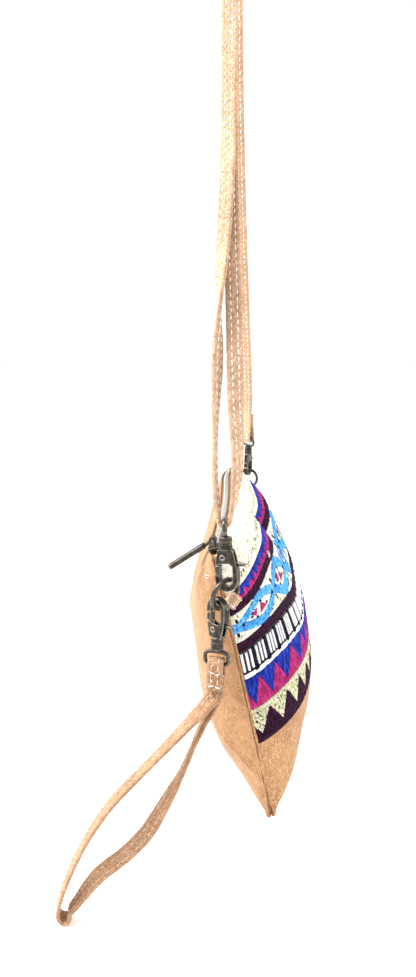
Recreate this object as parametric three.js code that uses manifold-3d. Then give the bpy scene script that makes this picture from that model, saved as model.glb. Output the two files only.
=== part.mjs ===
import * as THREE from "three";
import { mergeVertices } from "three/addons/utils/BufferGeometryUtils.js";
import Module from "manifold-3d";

const wasm = await Module();
wasm.setup();

// ---------------------------------------------------------------- sizes, mm
// Everything is laid out from a datum level with the strap clasps' pivots and
// then lowered so that the origin is under the strap's top bend.
const HANG = { y: 9, z: 452 };
const GAP = 0.3;                      // clearance between neighbouring pieces

const POUCH = { y: 10, z: -3.6, leanDeg: -12.1 };
const SUEDE = 1.6;                    // wall of the suede panels
const CLOTH_RAISE = 0.8;              // the embroidered cloth stands proud of the suede
const SEAM_HALF = 1.4;                // half thickness of the seam edge
const SEAM_CLEAR = 0.2;
const CLOTH_END = 0.711;              // share of the height covered by the embroidery
const COLUMNS = 24;                   // facets across a panel
// From start on the zip drifts toward the back and turns in again at the far end; this fades out down the panels.
const ZIP_BOW = { back: 10.5, start: -0.35, rise: 1.6, turn: 8, reach: 0.13 };

// Height sections of the front, from the zip down. share: place along the side
// seam; seam: seam's drop; mid: drop at mid-width; bulge: stand-out there;
// half: half width; blunt and round: shape of the section across the width.
const FRONT_ROWS = [
  { share: 0.000, seam: 0,     mid: 0,     bulge: 5.5,  half: 136.0, blunt: 10, round: 0.80 },
  { share: 0.040, seam: 6.6,   mid: 6,     bulge: 13.0, half: 135.6, blunt: 6,  round: 0.80 },
  { share: 0.090, seam: 14.9,  mid: 16,    bulge: 20.5, half: 135.0, blunt: 4,  round: 0.80 },
  { share: 0.160, seam: 26.4,  mid: 31,    bulge: 27.0, half: 134.2, blunt: 3.2, round: 0.80 },
  { share: 0.280, seam: 46.2,  mid: 50,    bulge: 33.0, half: 132.8, blunt: 3,  round: 0.80 },
  { share: 0.420, seam: 69.3,  mid: 72,    bulge: 37.8, half: 131.6, blunt: 3,  round: 0.80 },
  { share: 0.560, seam: 92.4,  mid: 95,    bulge: 40.2, half: 131.0, blunt: 3,  round: 0.80 },
  { share: 0.700, seam: 115.5, mid: 118,   bulge: 39.0, half: 130.8, blunt: 3,  round: 0.80 },
  { share: 0.820, seam: 135.3, mid: 136,   bulge: 33.5, half: 130.8, blunt: 3.2, round: 0.80 },
  { share: 0.910, seam: 150.2, mid: 148.5, bulge: 24.5, half: 131.0, blunt: 3.6, round: 0.80 },
  { share: 0.970, seam: 160.1, mid: 156,   bulge: 14.0, half: 131.4, blunt: 4,  round: 0.80 },
  { share: 1.000, seam: 165.0, mid: 159.5, bulge: 1.4,  half: 131.6, blunt: 4,  round: 0.80 },
];
// The back is fuller toward the sides, where it turns round to the seam.
const BACK_ROWS = [
  { share: 0.000, seam: 0,     mid: 0,     bulge: 5.5,  half: 136.0, blunt: 10, round: 0.80 },
  { share: 0.040, seam: 6.6,   mid: 6.5,   bulge: 12.5, half: 135.6, blunt: 7,  round: 0.75 },
  { share: 0.090, seam: 14.9,  mid: 16,    bulge: 19.0, half: 135.0, blunt: 6,  round: 0.72 },
  { share: 0.160, seam: 26.4,  mid: 29,    bulge: 25.5, half: 134.2, blunt: 5,  round: 0.70 },
  { share: 0.280, seam: 46.2,  mid: 49,    bulge: 32.0, half: 132.8, blunt: 5,  round: 0.70 },
  { share: 0.420, seam: 69.3,  mid: 72,    bulge: 35.0, half: 131.6, blunt: 5,  round: 0.70 },
  { share: 0.560, seam: 92.4,  mid: 95,    bulge: 36.5, half: 131.0, blunt: 5,  round: 0.70 },
  { share: 0.700, seam: 115.5, mid: 117.5, bulge: 35.5, half: 130.8, blunt: 5,  round: 0.70 },
  { share: 0.820, seam: 135.3, mid: 136,   bulge: 31.0, half: 130.8, blunt: 5,  round: 0.70 },
  { share: 0.910, seam: 150.2, mid: 149,   bulge: 23.0, half: 131.0, blunt: 5,  round: 0.70 },
  { share: 0.970, seam: 160.1, mid: 156.5, bulge: 13.0, half: 131.4, blunt: 5,  round: 0.72 },
  { share: 1.000, seam: 165.0, mid: 159.5, bulge: 1.4,  half: 131.6, blunt: 5,  round: 0.75 },
];
// Dents and folds: centre in (across, down) mm from the zip's middle, the
// direction it runs, its half length and half width, and how far it goes in.
const FRONT_FOLDS = [
  { across: 4,   down: 26, runDeg: 88,  long: 24, wide: 17, depth: 8.0 },
  { across: -66, down: 18, runDeg: 20,  long: 30, wide: 12, depth: -2.5 },
  { across: 62,  down: 20, runDeg: -20, long: 30, wide: 12, depth: -2.5 },
];
const BACK_FOLDS = [
  { across: -110, down: 128, runDeg: 58, long: 30, wide: 9,  depth: -2.0 },
  { across: -98,  down: 140, runDeg: 52, long: 28, wide: 10, depth: 2.0 },
  { across: -116, down: 80,  runDeg: 60, long: 20, wide: 9,  depth: -1.2 },
  { across: 10,   down: 22,  runDeg: 85,  long: 22, wide: 18, depth: 4.5 },
];

const ZIP = { tapeTop: 1.0, tapeThick: 0.8, tapeInset: 1.9, from: -0.955, to: 0.955,
              teethHalf: 2.05, teethRise: 1.9, teethFrom: -117, teethTo: 121, columns: 48 };
const SLIDER = { x: -124, plate: [10, 7, 1.6], plateZ: 2.1, stem: [8, 3.2, 1.9], stemZ: 0.5,
                 bailSpan: 7.0, bailZ: 6.2, bailWire: 0.8 };
const PULL = { eyeOuter: 2.5, eyeInner: 1.25, eyeThick: 3.0, neck: 5.5, length: 30, width: 5.0, thick: 3.0, dropDeg: 22 };

const RING = { outer: 20, wire: 2.8 };
const RING_MEAN = (RING.outer - RING.wire) / 2;
const TAB = { width: 8, wall: 1.6, halfSlot: 2.25 };

const CLASP = {
  thick: 4.2, half: 6.5, topHalf: 4.2, bodyTop: 5.2, hookBottom: -17.0,
  holeHalf: 3.65, holeTop: -2.4, holeBottom: -14.2,
  slotHalf: 1.2, slotLow: -3.7, slotHigh: 3.7, leverHalf: 0.85,
  pivot: { y: 1.5, z: 0.9 }, pin: 0.95, pinHole: 1.25, hub: 2.3,
  cheekLow: -3.05, mouthRadius: 9.7, gateInner: 2.9,
  nub: { y: -10.8, z: -2.7, wire: 1.05 },
  barrelRadius: 3.5, barrelTop: 11.8, bore: 1.75, boreLow: 6.6, post: 1.3, postLow: 7.1,
  eyeLow: 13.3, eyeHigh: 20.6, eyeHalf: 6.5, eyeWire: 1.2,
};
// Open pose of a lever is reached inward; the gate stays clear of the ring.

const STRAP = { width: 9, thick: 2.4, bend: 13, eyeBend: 3.05, ply: 2.75 };

// ---------------------------------------------------------------- colours
const paint = {
  suede: [0xdcb084, 0.92, 0], cloth: [0x6c5070, 0.9, 0], tape: [0xcfae8c, 0.9, 0],
  gunmetal: [0x57534e, 0.42, 0.9], teeth: [0xb9b7b2, 0.45, 0.7],
};
const V = (x, y, z) => new THREE.Vector3(x, y, z);
const rad = THREE.MathUtils.degToRad;

function mesh(name, geometry, kind) {
  const [color, roughness, metalness] = paint[kind];
  const m = new THREE.Mesh(geometry, new THREE.MeshStandardMaterial({ color, roughness, metalness }));
  m.name = name;
  return m;
}

// ---------------------------------------------------------------- solids
function bare(geometry) {
  const g = geometry.index ? geometry.clone() : geometry;
  g.deleteAttribute("normal");
  g.deleteAttribute("uv");
  return mergeVertices(g, 1e-4);
}
function solid(geometry) {
  const g = bare(geometry);
  return new wasm.Manifold(new wasm.Mesh({
    numProp: 3,
    vertProperties: new Float32Array(g.attributes.position.array),
    triVerts: new Uint32Array(g.index.array),
  }));
}
function geometryOf(body) {
  const m = body.getMesh();
  const g = new THREE.BufferGeometry();
  g.setAttribute("position", new THREE.BufferAttribute(new Float32Array(m.vertProperties), 3));
  g.setIndex(new THREE.BufferAttribute(new Uint32Array(m.triVerts), 1));
  g.computeVertexNormals();
  return g;
}
function fromFaces(points, faces) {
  const g = new THREE.BufferGeometry();
  g.setAttribute("position", new THREE.Float32BufferAttribute(points.flatMap((p) => [p.x, p.y, p.z]), 3));
  g.setIndex(faces.flat());
  g.computeVertexNormals();
  return g;
}
// A wall between two grids of points; flip turns it for the other side.
function wall(outer, inner, flip) {
  const rows = outer.length, cols = outer[0].length;
  const points = [...outer.flat(), ...inner.flat()];
  const at = (k, i, j) => k * rows * cols + i * cols + j;
  const faces = [];
  const quad = (a, b, c, d) => (flip ? faces.push([a, c, b], [a, d, c]) : faces.push([a, b, c], [a, c, d]));
  for (let i = 0; i + 1 < rows; i++) for (let j = 0; j + 1 < cols; j++) {
    quad(at(0, i, j), at(0, i + 1, j), at(0, i + 1, j + 1), at(0, i, j + 1));
    quad(at(1, i, j), at(1, i, j + 1), at(1, i + 1, j + 1), at(1, i + 1, j));
  }
  for (let j = 0; j + 1 < cols; j++) {
    quad(at(0, 0, j), at(0, 0, j + 1), at(1, 0, j + 1), at(1, 0, j));
    quad(at(0, rows - 1, j), at(1, rows - 1, j), at(1, rows - 1, j + 1), at(0, rows - 1, j + 1));
  }
  for (let i = 0; i + 1 < rows; i++) {
    quad(at(0, i, 0), at(1, i, 0), at(1, i + 1, 0), at(0, i + 1, 0));
    quad(at(0, i, cols - 1), at(0, i + 1, cols - 1), at(1, i + 1, cols - 1), at(1, i, cols - 1));
  }
  return fromFaces(points, faces);
}
// A flat strap through stations {p, w}: place and width direction.
function ribbon(stations, width, thick) {
  const points = [], faces = [], n = stations.length;
  stations.forEach(({ p, w }, i) => {
    const a = stations[Math.max(0, i - 1)].p, b = stations[Math.min(n - 1, i + 1)].p;
    const t = b.clone().sub(a).normalize();
    const across = w.clone().addScaledVector(t, -w.dot(t)).normalize();
    const up = t.clone().cross(across);
    for (const [s, k] of [[-1, -1], [1, -1], [1, 1], [-1, 1]])
      points.push(p.clone().addScaledVector(across, s * width / 2).addScaledVector(up, k * thick / 2));
  });
  for (let i = 0; i + 1 < n; i++) for (let k = 0; k < 4; k++) {
    const a = i * 4 + k, b = i * 4 + (k + 1) % 4;
    faces.push([a, b, b + 4], [a, b + 4, a + 4]);
  }
  const e = (n - 1) * 4;
  faces.push([0, 2, 1], [0, 3, 2], [e, e + 1, e + 2], [e, e + 2, e + 3]);
  return fromFaces(points, faces);
}

// ---------------------------------------------------------------- pouch
const KEYS = ["seam", "mid", "bulge", "half", "blunt", "round"];
function rowAt(rows, share) {
  let i = 0;
  while (i < rows.length - 2 && share > rows[i + 1].share) i++;
  const a = rows[i], b = rows[i + 1], h = b.share - a.share, t = (share - a.share) / h;
  const out = {};
  for (const k of KEYS) {
    const rise = (m, n) => (n[k] - m[k]) / (n.share - m.share);
    const here = rise(a, b);
    const ease = (p, q) => (p * q <= 0 ? 0 : 2 * p * q / (p + q));
    const d0 = i > 0 ? ease(rise(rows[i - 1], a), here) : here;
    const d1 = i + 2 < rows.length ? ease(here, rise(b, rows[i + 2])) : here;
    const t2 = t * t, t3 = t2 * t;
    out[k] = (2 * t3 - 3 * t2 + 1) * a[k] + (t3 - 2 * t2 + t) * h * d0
           + (3 * t2 - 2 * t3) * b[k] + (t3 - t2) * h * d1;
  }
  return out;
}
function foldDepth(folds, across, down) {
  let sum = 0;
  for (const f of folds) {
    const c = Math.cos(rad(f.runDeg)), s = Math.sin(rad(f.runDeg));
    const dx = across - f.across, dd = down - f.down;
    const along = (dx * c + dd * s) / f.long, side = (-dx * s + dd * c) / f.wide;
    sum += f.depth * Math.exp(-along * along - side * side);
  }
  return sum;
}
function zipBow(u, share) {
  const fade = Math.max(0, 1 - share / ZIP_BOW.reach);
  const v = Math.max(0, (u - ZIP_BOW.start) / (1 - ZIP_BOW.start));
  return ZIP_BOW.back * Math.pow(v, ZIP_BOW.rise) * (1 - Math.pow(v, ZIP_BOW.turn)) * fade * fade;
}
function panelPoint(panel, u, share) {
  const r = rowAt(panel.rows, share);
  const g = Math.pow(Math.max(0, 1 - Math.pow(Math.abs(u), r.blunt)), r.round);
  const across = r.half * u, down = r.seam + (r.mid - r.seam) * g;
  const lift = Math.min(1, g * 2) * Math.min(1, share * 30) * Math.min(1, (1 - share) * 20);
  const out = SEAM_HALF + (r.bulge - SEAM_HALF) * g - foldDepth(panel.folds, across, down) * lift;
  return V(across, panel.side * out + zipBow(u, share), -down);
}
function panelNormal(panel, u, share) {
  const e = 0.004;
  const u0 = Math.max(-1, u - e), u1 = Math.min(1, u + e);
  const s0 = Math.max(0, share - e), s1 = Math.min(1, share + e);
  const du = panelPoint(panel, u1, share).sub(panelPoint(panel, u0, share));
  const ds = panelPoint(panel, u, s1).sub(panelPoint(panel, u, s0));
  const n = du.cross(ds).normalize();
  return n.y * panel.side < 0 ? n.negate() : n;
}
const FRONT = { rows: FRONT_ROWS, folds: FRONT_FOLDS, side: -1 };
const BACK = { rows: BACK_ROWS, folds: BACK_FOLDS, side: 1 };

function panelWall(panel, shares, raise) {
  const outer = [], inner = [];
  for (const share of shares) {
    const o = [], n = [];
    for (let j = 0; j <= COLUMNS; j++) {
      const u = Math.sin((j / COLUMNS - 0.5) * Math.PI * 0.86) / Math.sin(Math.PI * 0.43);
      const p = panelPoint(panel, u, share), k = panelNormal(panel, u, share);
      const top = p.clone().addScaledVector(k, raise), under = p.clone().addScaledVector(k, -SUEDE);
      const bow = zipBow(u, share);
      top.y = bow + panel.side * Math.max((top.y - bow) * panel.side, SEAM_HALF);
      under.y = bow + panel.side * Math.max((under.y - bow) * panel.side, SEAM_CLEAR);
      o.push(top); n.push(under);
    }
    outer.push(o); inner.push(n);
  }
  return wall(outer, inner, panel.side > 0);
}
const between = (a, b, list) => [a, ...list.filter((s) => s > a + 0.012 && s < b - 0.012), b];
const SHARES = [0, 0.025, 0.06, 0.1, 0.16, 0.24, 0.33, 0.43, 0.53, 0.63, 0.74, 0.82, 0.89, 0.94, 0.975, 1];
const EDGE_GAP = 0.0011;

const pouch = new THREE.Group();
pouch.name = "pouch";
pouch.position.set(0, POUCH.y, POUCH.z);
pouch.rotation.x = rad(POUCH.leanDeg);
pouch.add(
  mesh("embroidered_panel", panelWall(FRONT, between(0, CLOTH_END - EDGE_GAP, SHARES), CLOTH_RAISE), "cloth"),
  mesh("front_base", panelWall(FRONT, between(CLOTH_END + EDGE_GAP, 1, SHARES), 0), "suede"),
  mesh("back_panel", panelWall(BACK, SHARES, 0), "suede"),
);

// zip: tape in the opening, chain of teeth on it, slider at the near end
function zipEdge(u) {
  const p = panelPoint(FRONT, u, 0), y = zipBow(u, 0);
  return { x: p.x, y, half: y - p.y - ZIP.tapeInset, z: p.z - ZIP.tapeTop };
}
const tapeTop = [], tapeUnder = [];
for (let j = 0; j <= ZIP.columns; j++) {
  const e = zipEdge(ZIP.from + (ZIP.to - ZIP.from) * j / ZIP.columns);
  tapeTop.push([V(e.x, e.y - e.half, e.z), V(e.x, e.y + e.half, e.z)]);
  tapeUnder.push([V(e.x, e.y - e.half, e.z - ZIP.tapeThick), V(e.x, e.y + e.half, e.z - ZIP.tapeThick)]);
}
pouch.add(mesh("zip_tape", wall(tapeTop, tapeUnder, false), "tape"));
const teethTop = [], teethUnder = [];
for (let j = 0; j <= ZIP.columns; j++) {
  const x = ZIP.teethFrom + (ZIP.teethTo - ZIP.teethFrom) * j / ZIP.columns;
  const e = zipEdge(x / FRONT_ROWS[0].half), z = e.z + GAP, h = ZIP.teethHalf;
  teethTop.push([V(x, e.y - h, z + ZIP.teethRise), V(x, e.y + h, z + ZIP.teethRise)]);
  teethUnder.push([V(x, e.y - h, z), V(x, e.y + h, z)]);
}
pouch.add(mesh("zip_teeth", wall(teethTop, teethUnder, false), "teeth"));

const box = (size, x, y, z) => solid(new THREE.BoxGeometry(...size).translate(x, y, z));
const rod = (radius, length, sides) => new THREE.CylinderGeometry(radius, radius, length, sides);
function sliderSolid() {
  const { plate, plateZ, stem, stemZ, bailSpan, bailZ, bailWire } = SLIDER;
  const bar = solid(rod(bailWire, bailSpan + 2 * bailWire, 10).rotateZ(Math.PI / 2).translate(0, 0, bailZ));
  const leg = (x) => solid(rod(bailWire, bailZ - plateZ, 10).rotateX(Math.PI / 2).translate(x, 0, (bailZ + plateZ) / 2));
  return box(plate, 0, 0, plateZ).add(box(stem, 0, 0, stemZ)).add(bar).add(leg(-bailSpan / 2)).add(leg(bailSpan / 2));
}
const slider = mesh("zip_slider", geometryOf(sliderSolid()), "gunmetal");
slider.position.set(SLIDER.x, zipBow(SLIDER.x / FRONT_ROWS[0].half, 0), 0);
pouch.add(slider);

// pull: an eye on the bail's bar, a neck and a bar with rounded end
function pullSolid() {
  const { eyeOuter, eyeInner, eyeThick, neck, length, width, thick } = PULL;
  const eye = solid(rod(eyeOuter, eyeThick, 20).rotateZ(Math.PI / 2))
    .subtract(solid(rod(eyeInner, eyeThick + 2, 16).rotateZ(Math.PI / 2)));
  const link = box([eyeThick, neck - eyeOuter + 1.2, 1.8], 0, (neck + eyeOuter - 0.8) / 2, 0);
  const outline = new THREE.Shape();
  const h = width / 2, k = 1.2;
  outline.moveTo(-h + k, neck).lineTo(h - k, neck).lineTo(h, neck + k).lineTo(h, length - k)
    .lineTo(h - k, length).lineTo(-h + k, length).lineTo(-h, length - k).lineTo(-h, neck + k);
  const bar = solid(new THREE.ExtrudeGeometry(outline, { depth: thick, bevelEnabled: false }).translate(0, 0, -thick / 2));
  return eye.add(link).add(bar);
}
const pull = mesh("zip_pull", geometryOf(pullSolid()), "gunmetal");
pull.position.set(SLIDER.x, slider.position.y, SLIDER.bailZ);
pull.rotation.x = rad(-PULL.dropDeg);
pouch.add(pull);

// ---------------------------------------------------------------- clasps
// Clasp's own axes: z toward the eye, y toward the gate, x through the plate.
function plate(points, thick) {
  const shape = new THREE.Shape(points.map(([y, z]) => new THREE.Vector2(y, z)));
  const g = new THREE.ExtrudeGeometry(shape, { depth: thick, bevelEnabled: false });
  // shape's x, y become the clasp's y, z
  g.applyMatrix4(new THREE.Matrix4().makeBasis(V(0, 1, 0), V(0, 0, 1), V(1, 0, 0)));
  return solid(g.translate(-thick / 2, 0, 0));
}
const arcPoints = (cy, cz, r, from, to, n) => Array.from({ length: n + 1 }, (_, i) => {
  const a = rad(from + (to - from) * i / n);
  return [cy + r * Math.cos(a), cz + r * Math.sin(a)];
});
const pinAt = (r, thick, sides) => solid(rod(r, thick, sides).rotateZ(Math.PI / 2).translate(0, CLASP.pivot.y, CLASP.pivot.z));
const C = CLASP;
function claspFrame() {
  const low = C.hookBottom + C.half;
  const outline = plate([
    ...arcPoints(0, low, C.half, 180, 360, 14),
    [C.half, -5.2], [C.half - 0.5, -2.6], [C.topHalf + 0.9, 1.6], [C.topHalf, C.bodyTop],
    [-C.topHalf, C.bodyTop], [-C.topHalf - 0.9, 1.6], [-C.half + 0.5, -2.6], [-C.half, -5.2],
  ], C.thick);
  const holeLow = C.holeBottom + C.holeHalf;
  const hole = plate([
    ...arcPoints(0, holeLow, C.holeHalf, 180, 360, 10),
    [C.holeHalf, C.holeTop - 1.6], [C.holeHalf - 1.4, C.holeTop], [-C.holeHalf + 1.4, C.holeTop], [-C.holeHalf, C.holeTop - 1.6],
  ], C.thick + 2);
  return outline.subtract(hole);
}
function claspBody() {
  const frame = claspFrame();
  const mouth = plate([[C.gateInner, C.cheekLow], [C.half + 2, C.cheekLow], [C.half + 2, -14], [C.gateInner, -14]], C.thick + 2)
    .intersect(pinAt(C.mouthRadius + GAP / 2, C.thick + 2, 64));
  const slot = box([C.slotHalf * 2, 30, C.slotHigh - C.slotLow], 0, 0, (C.slotHigh + C.slotLow) / 2);
  const barrel = solid(rod(C.barrelRadius, C.barrelTop - C.bodyTop + 0.5, 20).rotateX(Math.PI / 2)
    .translate(0, 0, (C.barrelTop + C.bodyTop - 0.5) / 2));
  const groove = solid(new THREE.TorusGeometry(C.barrelRadius + 0.25, 0.6, 6, 20).translate(0, 0, (C.barrelTop + C.bodyTop) / 2));
  const bore = solid(rod(C.bore, 8, 12).rotateX(Math.PI / 2).translate(0, 0, C.boreLow + 4));
  return frame.subtract(mouth).subtract(slot).add(pinAt(C.pin, C.thick - 0.4, 14))
    .add(barrel).subtract(groove).subtract(bore);
}
function claspLever() {
  const gate = claspFrame()
    .intersect(plate([[C.gateInner + 0.2, C.cheekLow - GAP], [C.half + 2, C.cheekLow - GAP], [C.half + 2, -14], [C.gateInner + 0.2, -14]], C.thick + 2))
    .intersect(pinAt(C.mouthRadius - GAP / 2, C.thick - 0.4, 64));
  const { y, z } = C.pivot, t = C.leverHalf * 2;
  const arm = plate([[y - 0.6, z + 2.1], [y + 2.0, z + 1.2], [C.half - 1.3, -1.6], [C.half - 0.6, -4.6], [C.holeHalf + 0.1, -4.6], [y + 0.6, z - 2.2]], t);
  const tail = plate([[y, z + 1.6], [y, z - 2.0], [-6.2, -3.3], [-7.6, -3.4], [-7.6, -1.9], [-6.2, -1.6]], t);
  const nub = solid(rod(C.nub.wire, 3.9, 12).translate(0, C.nub.y + 1.95, C.nub.z + 0.05));
  return pinAt(C.hub, t, 20).add(arm).add(tail).add(gate).add(nub).subtract(pinAt(C.pinHole, t + 2, 14));
}
class EyePath extends THREE.Curve {
  getPoint(t, target = V(0, 0, 0)) {
    const a = t * 2 * Math.PI, mid = (C.eyeLow + C.eyeHigh) / 2, up = (C.eyeHigh - C.eyeLow) / 2;
    const soft = (k) => Math.sign(k) * Math.pow(Math.abs(k), 0.55);
    return target.set(0, C.eyeHalf * soft(Math.cos(a)), mid + up * soft(Math.sin(a)));
  }
}
function claspEye() {
  const loop = solid(new THREE.TubeGeometry(new EyePath(), 36, C.eyeWire, 8, true));
  const post = solid(rod(C.post, C.eyeLow - C.postLow, 12).rotateX(Math.PI / 2).translate(0, 0, (C.eyeLow + C.postLow) / 2));
  return loop.add(post);
}
const claspParts = { body: geometryOf(claspBody()), lever: geometryOf(claspLever()), eye: geometryOf(claspEye()) };

// A clasp by where the ring's wire sits in its hook, its axis and its gate side.
function placeClasp(name, at) {
  const group = new THREE.Group();
  group.name = name;
  const z = at.axis.clone().normalize();
  const y = at.gate.clone().addScaledVector(z, -at.gate.dot(z)).normalize();
  const x = y.clone().cross(z);
  group.applyMatrix4(new THREE.Matrix4().makeBasis(x, y, z));
  const hold = C.holeBottom + RING.wire / 2 + at.slack;
  group.position.copy(at.wire).addScaledVector(z, -hold).addScaledVector(y, -at.shift);
  const eye = mesh(name + "_eye", claspParts.eye.clone(), "gunmetal");
  eye.rotation.z = rad(at.swivelDeg);
  group.add(mesh(name + "_body", claspParts.body.clone(), "gunmetal"), mesh(name + "_lever", claspParts.lever.clone(), "gunmetal"), eye);
  group.updateMatrixWorld(true);
  return group;
}
// place of the bar that the strap goes round, and the bar's direction
function eyeBar(group) {
  const eye = group.children[2];
  eye.updateMatrixWorld(true);
  const bar = V(0, 0, C.eyeHigh).applyMatrix4(eye.matrixWorld);
  const along = V(0, 1, 0).transformDirection(eye.matrixWorld);
  const pull = V(0, 0, 1).transformDirection(eye.matrixWorld);
  return { bar, along, pull };
}

// ---------------------------------------------------------------- rings
function ringFrame(at) {
  const n = at.normal.clone().normalize();
  const up = V(0, 0, 1).addScaledVector(n, -n.z).normalize();
  const side = n.clone().cross(up);
  // the wire's centre at an angle from the top, positive toward the side direction
  const wire = (deg) => at.centre.clone().addScaledVector(up, RING_MEAN * Math.cos(rad(deg))).addScaledVector(side, RING_MEAN * Math.sin(rad(deg)));
  const run = (deg) => up.clone().multiplyScalar(-Math.sin(rad(deg))).addScaledVector(side, Math.cos(rad(deg)));
  return { n, up, side, wire, run };
}
function ringMesh(name, at) {
  const f = ringFrame(at);
  const m = mesh(name, bare(new THREE.TorusGeometry(RING_MEAN, RING.wire / 2, 10, 30)), "gunmetal");
  m.geometry.computeVertexNormals();
  m.applyMatrix4(new THREE.Matrix4().makeBasis(f.up, f.side, f.n));
  m.position.copy(at.centre);
  return m;
}
// Loop of suede round the ring, its two plies running to the side seam.
function tabMesh(name, at, deg, target, length) {
  const f = ringFrame(at), wire = f.wire(deg), along = f.run(deg);
  const toward = target.clone().sub(wire);
  toward.addScaledVector(along, -toward.dot(along)).normalize();
  const k = along.clone().cross(toward);
  const bow = TAB.width * TAB.width / 8 / RING_MEAN;
  const inward = at.centre.clone().sub(wire).normalize();
  const base = wire.clone().addScaledVector(inward, bow * 0.5);
  const r0 = TAB.halfSlot, r1 = r0 + TAB.wall, back = 0.9;
  const turn = (r, from, to) => arcPoints(-back, 0, r, from, to, 10);
  const near = 0.35;
  const outline = [...turn(r1, 90, 270), [length, -near - TAB.wall], [length, -near], [length * 0.45, -r0 * 0.95],
    ...turn(r0, 270, 90), [length * 0.45, r0 * 0.95], [length, near], [length, near + TAB.wall]];
  const shape = new THREE.Shape(outline.map(([a, b]) => new THREE.Vector2(a, b)));
  const g = new THREE.ExtrudeGeometry(shape, { depth: TAB.width, bevelEnabled: false }).translate(0, 0, -TAB.width / 2);
  g.applyMatrix4(new THREE.Matrix4().makeBasis(toward, k, toward.clone().cross(k)));
  g.translate(base.x, base.y, base.z);
  return mesh(name, geometryOf(solid(g)), "suede");
}

const RING_NEAR = { centre: V(-146.2, 3.0, -20.5), normal: V(0.70, 0.68, 0.20) };
const RING_FAR = { centre: V(146.6, -1.5, -17.7), normal: V(0.97, 0.10, -0.20) };
const nearFrame = ringFrame(RING_NEAR), farFrame = ringFrame(RING_FAR);

const claspNear = placeClasp("strap_clasp_near", { wire: nearFrame.wire(0), axis: V(0.15, 0.07, 0.985), gate: V(0.36, 0.933, 0), shift: 0.15, slack: 1.75, swivelDeg: 112 });
const claspFar = placeClasp("strap_clasp_far", { wire: farFrame.wire(0), axis: V(-0.15, 0.0, 0.985), gate: V(-0.94, 0.34, 0), shift: 0, slack: 1.45, swivelDeg: 70 });
const claspWrist = placeClasp("wrist_clasp", { wire: nearFrame.wire(-155), axis: V(-0.05, 0.02, -1), gate: V(0.65, 0.76, 0), shift: 0, slack: 2.05, swivelDeg: -30 });

// ---------------------------------------------------------------- straps
const flat = (deg) => V(Math.cos(rad(deg)), Math.sin(rad(deg)), 0);
// Stations between rows {x, y, z, turn}: smooth places, eased turn.
function strand(rows, perRow) {
  const curve = new THREE.CatmullRomCurve3(rows.map((r) => V(r.x, r.y, r.z)), false, "centripetal");
  const out = [];
  for (let i = 0; i + 1 < rows.length; i++) for (let k = i ? 1 : 0; k <= perRow; k++) {
    const t = k / perRow, e = t * t * (3 - 2 * t);
    out.push({ p: curve.getPoint((i + t) / (rows.length - 1)), w: flat(rows[i].turn + (rows[i + 1].turn - rows[i].turn) * e) });
  }
  return out;
}
// Half turn round an eye's bar, from one side to the other.
function halfTurn(eye, sideways, radius, from, to, n) {
  return Array.from({ length: n + 1 }, (_, i) => {
    const a = rad(from + (to - from) * i / n);
    return { p: eye.bar.clone().addScaledVector(sideways, radius * Math.cos(a)).addScaledVector(eye.pull, -radius * Math.sin(a)), w: eye.along.clone() };
  });
}

// Strap's strands by height above the datum. turn: angle of the strap's width
// from the x axis. The two near strands part below and lie together above;
// off sets the returning strand clear in front of the other one.
const LINE = { eyeX: 141, eyeZ: 25, slope: 0.305 };
const lineX = (z) => LINE.eyeX - LINE.slope * (z - LINE.eyeZ);
const FAR_ROWS = [
  { z: 62,  y: -0.6, turn: -118 }, { z: 90,  y: 0.6, turn: -104 }, { z: 130, y: 2.4, turn: -95 },
  { z: 175, y: 4.4,  turn: -92 },  { z: 232, y: 6.5, turn: -90 },  { z: 300, y: 8.2, turn: -90 },
  { z: 370, y: 8.9,  turn: -90 },
];
const MID_ROWS = [
  { z: 370, y: 8.7,  turn: -90 }, { z: 318, y: 8.0,  turn: -90 }, { z: 287, y: 7.4,  turn: -90 },
  { z: 247, y: 6.5,  turn: -90 }, { z: 208, y: 5.3,  turn: -89 }, { z: 164, y: 3.3,  turn: -88 },
  { z: 132, y: 1.6,  turn: -86 }, { z: 105, y: 0.4,  turn: -80 }, { z: 79,  y: -0.6, turn: -62 },
  { z: 59,  y: -1.8, turn: -42 }, { z: 39,  y: -2.0, turn: -26 }, { z: 27,  y: -0.6, turn: -12 },
];
const RETURN_ROWS = [
  { z: 27,  y: 8.0, off: 0,    turn: -8 },  { z: 39,  y: 9.2, off: 0,    turn: -4 },
  { z: 59,  y: 9.8, off: 0,    turn: -2 },  { z: 79,  y: 9.8, off: -0.5, turn: -14 },
  { z: 95,  y: 9.6, off: -1.2, turn: -30 }, { z: 108, y: 9.4, off: -1.6, turn: -26 },
  { z: 126, y: 9.0, off: -2.6, turn: 4 },   { z: 148, y: 8.4, off: -4.2, turn: 42 },
  { z: 164, y: 7.4, off: -4.8, turn: 54 },  { z: 191, y: 6.5, off: -4.9, turn: 62 },
  { z: 224, y: 6.3, off: -4.6, turn: 68 },  { z: 264, y: 6.8, off: -3.7, turn: 78 },
  { z: 292, y: 7.5, off: -3.05, turn: 90 }, { z: 322, y: 8.1, off: -3.05, turn: 90 },
];
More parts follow.
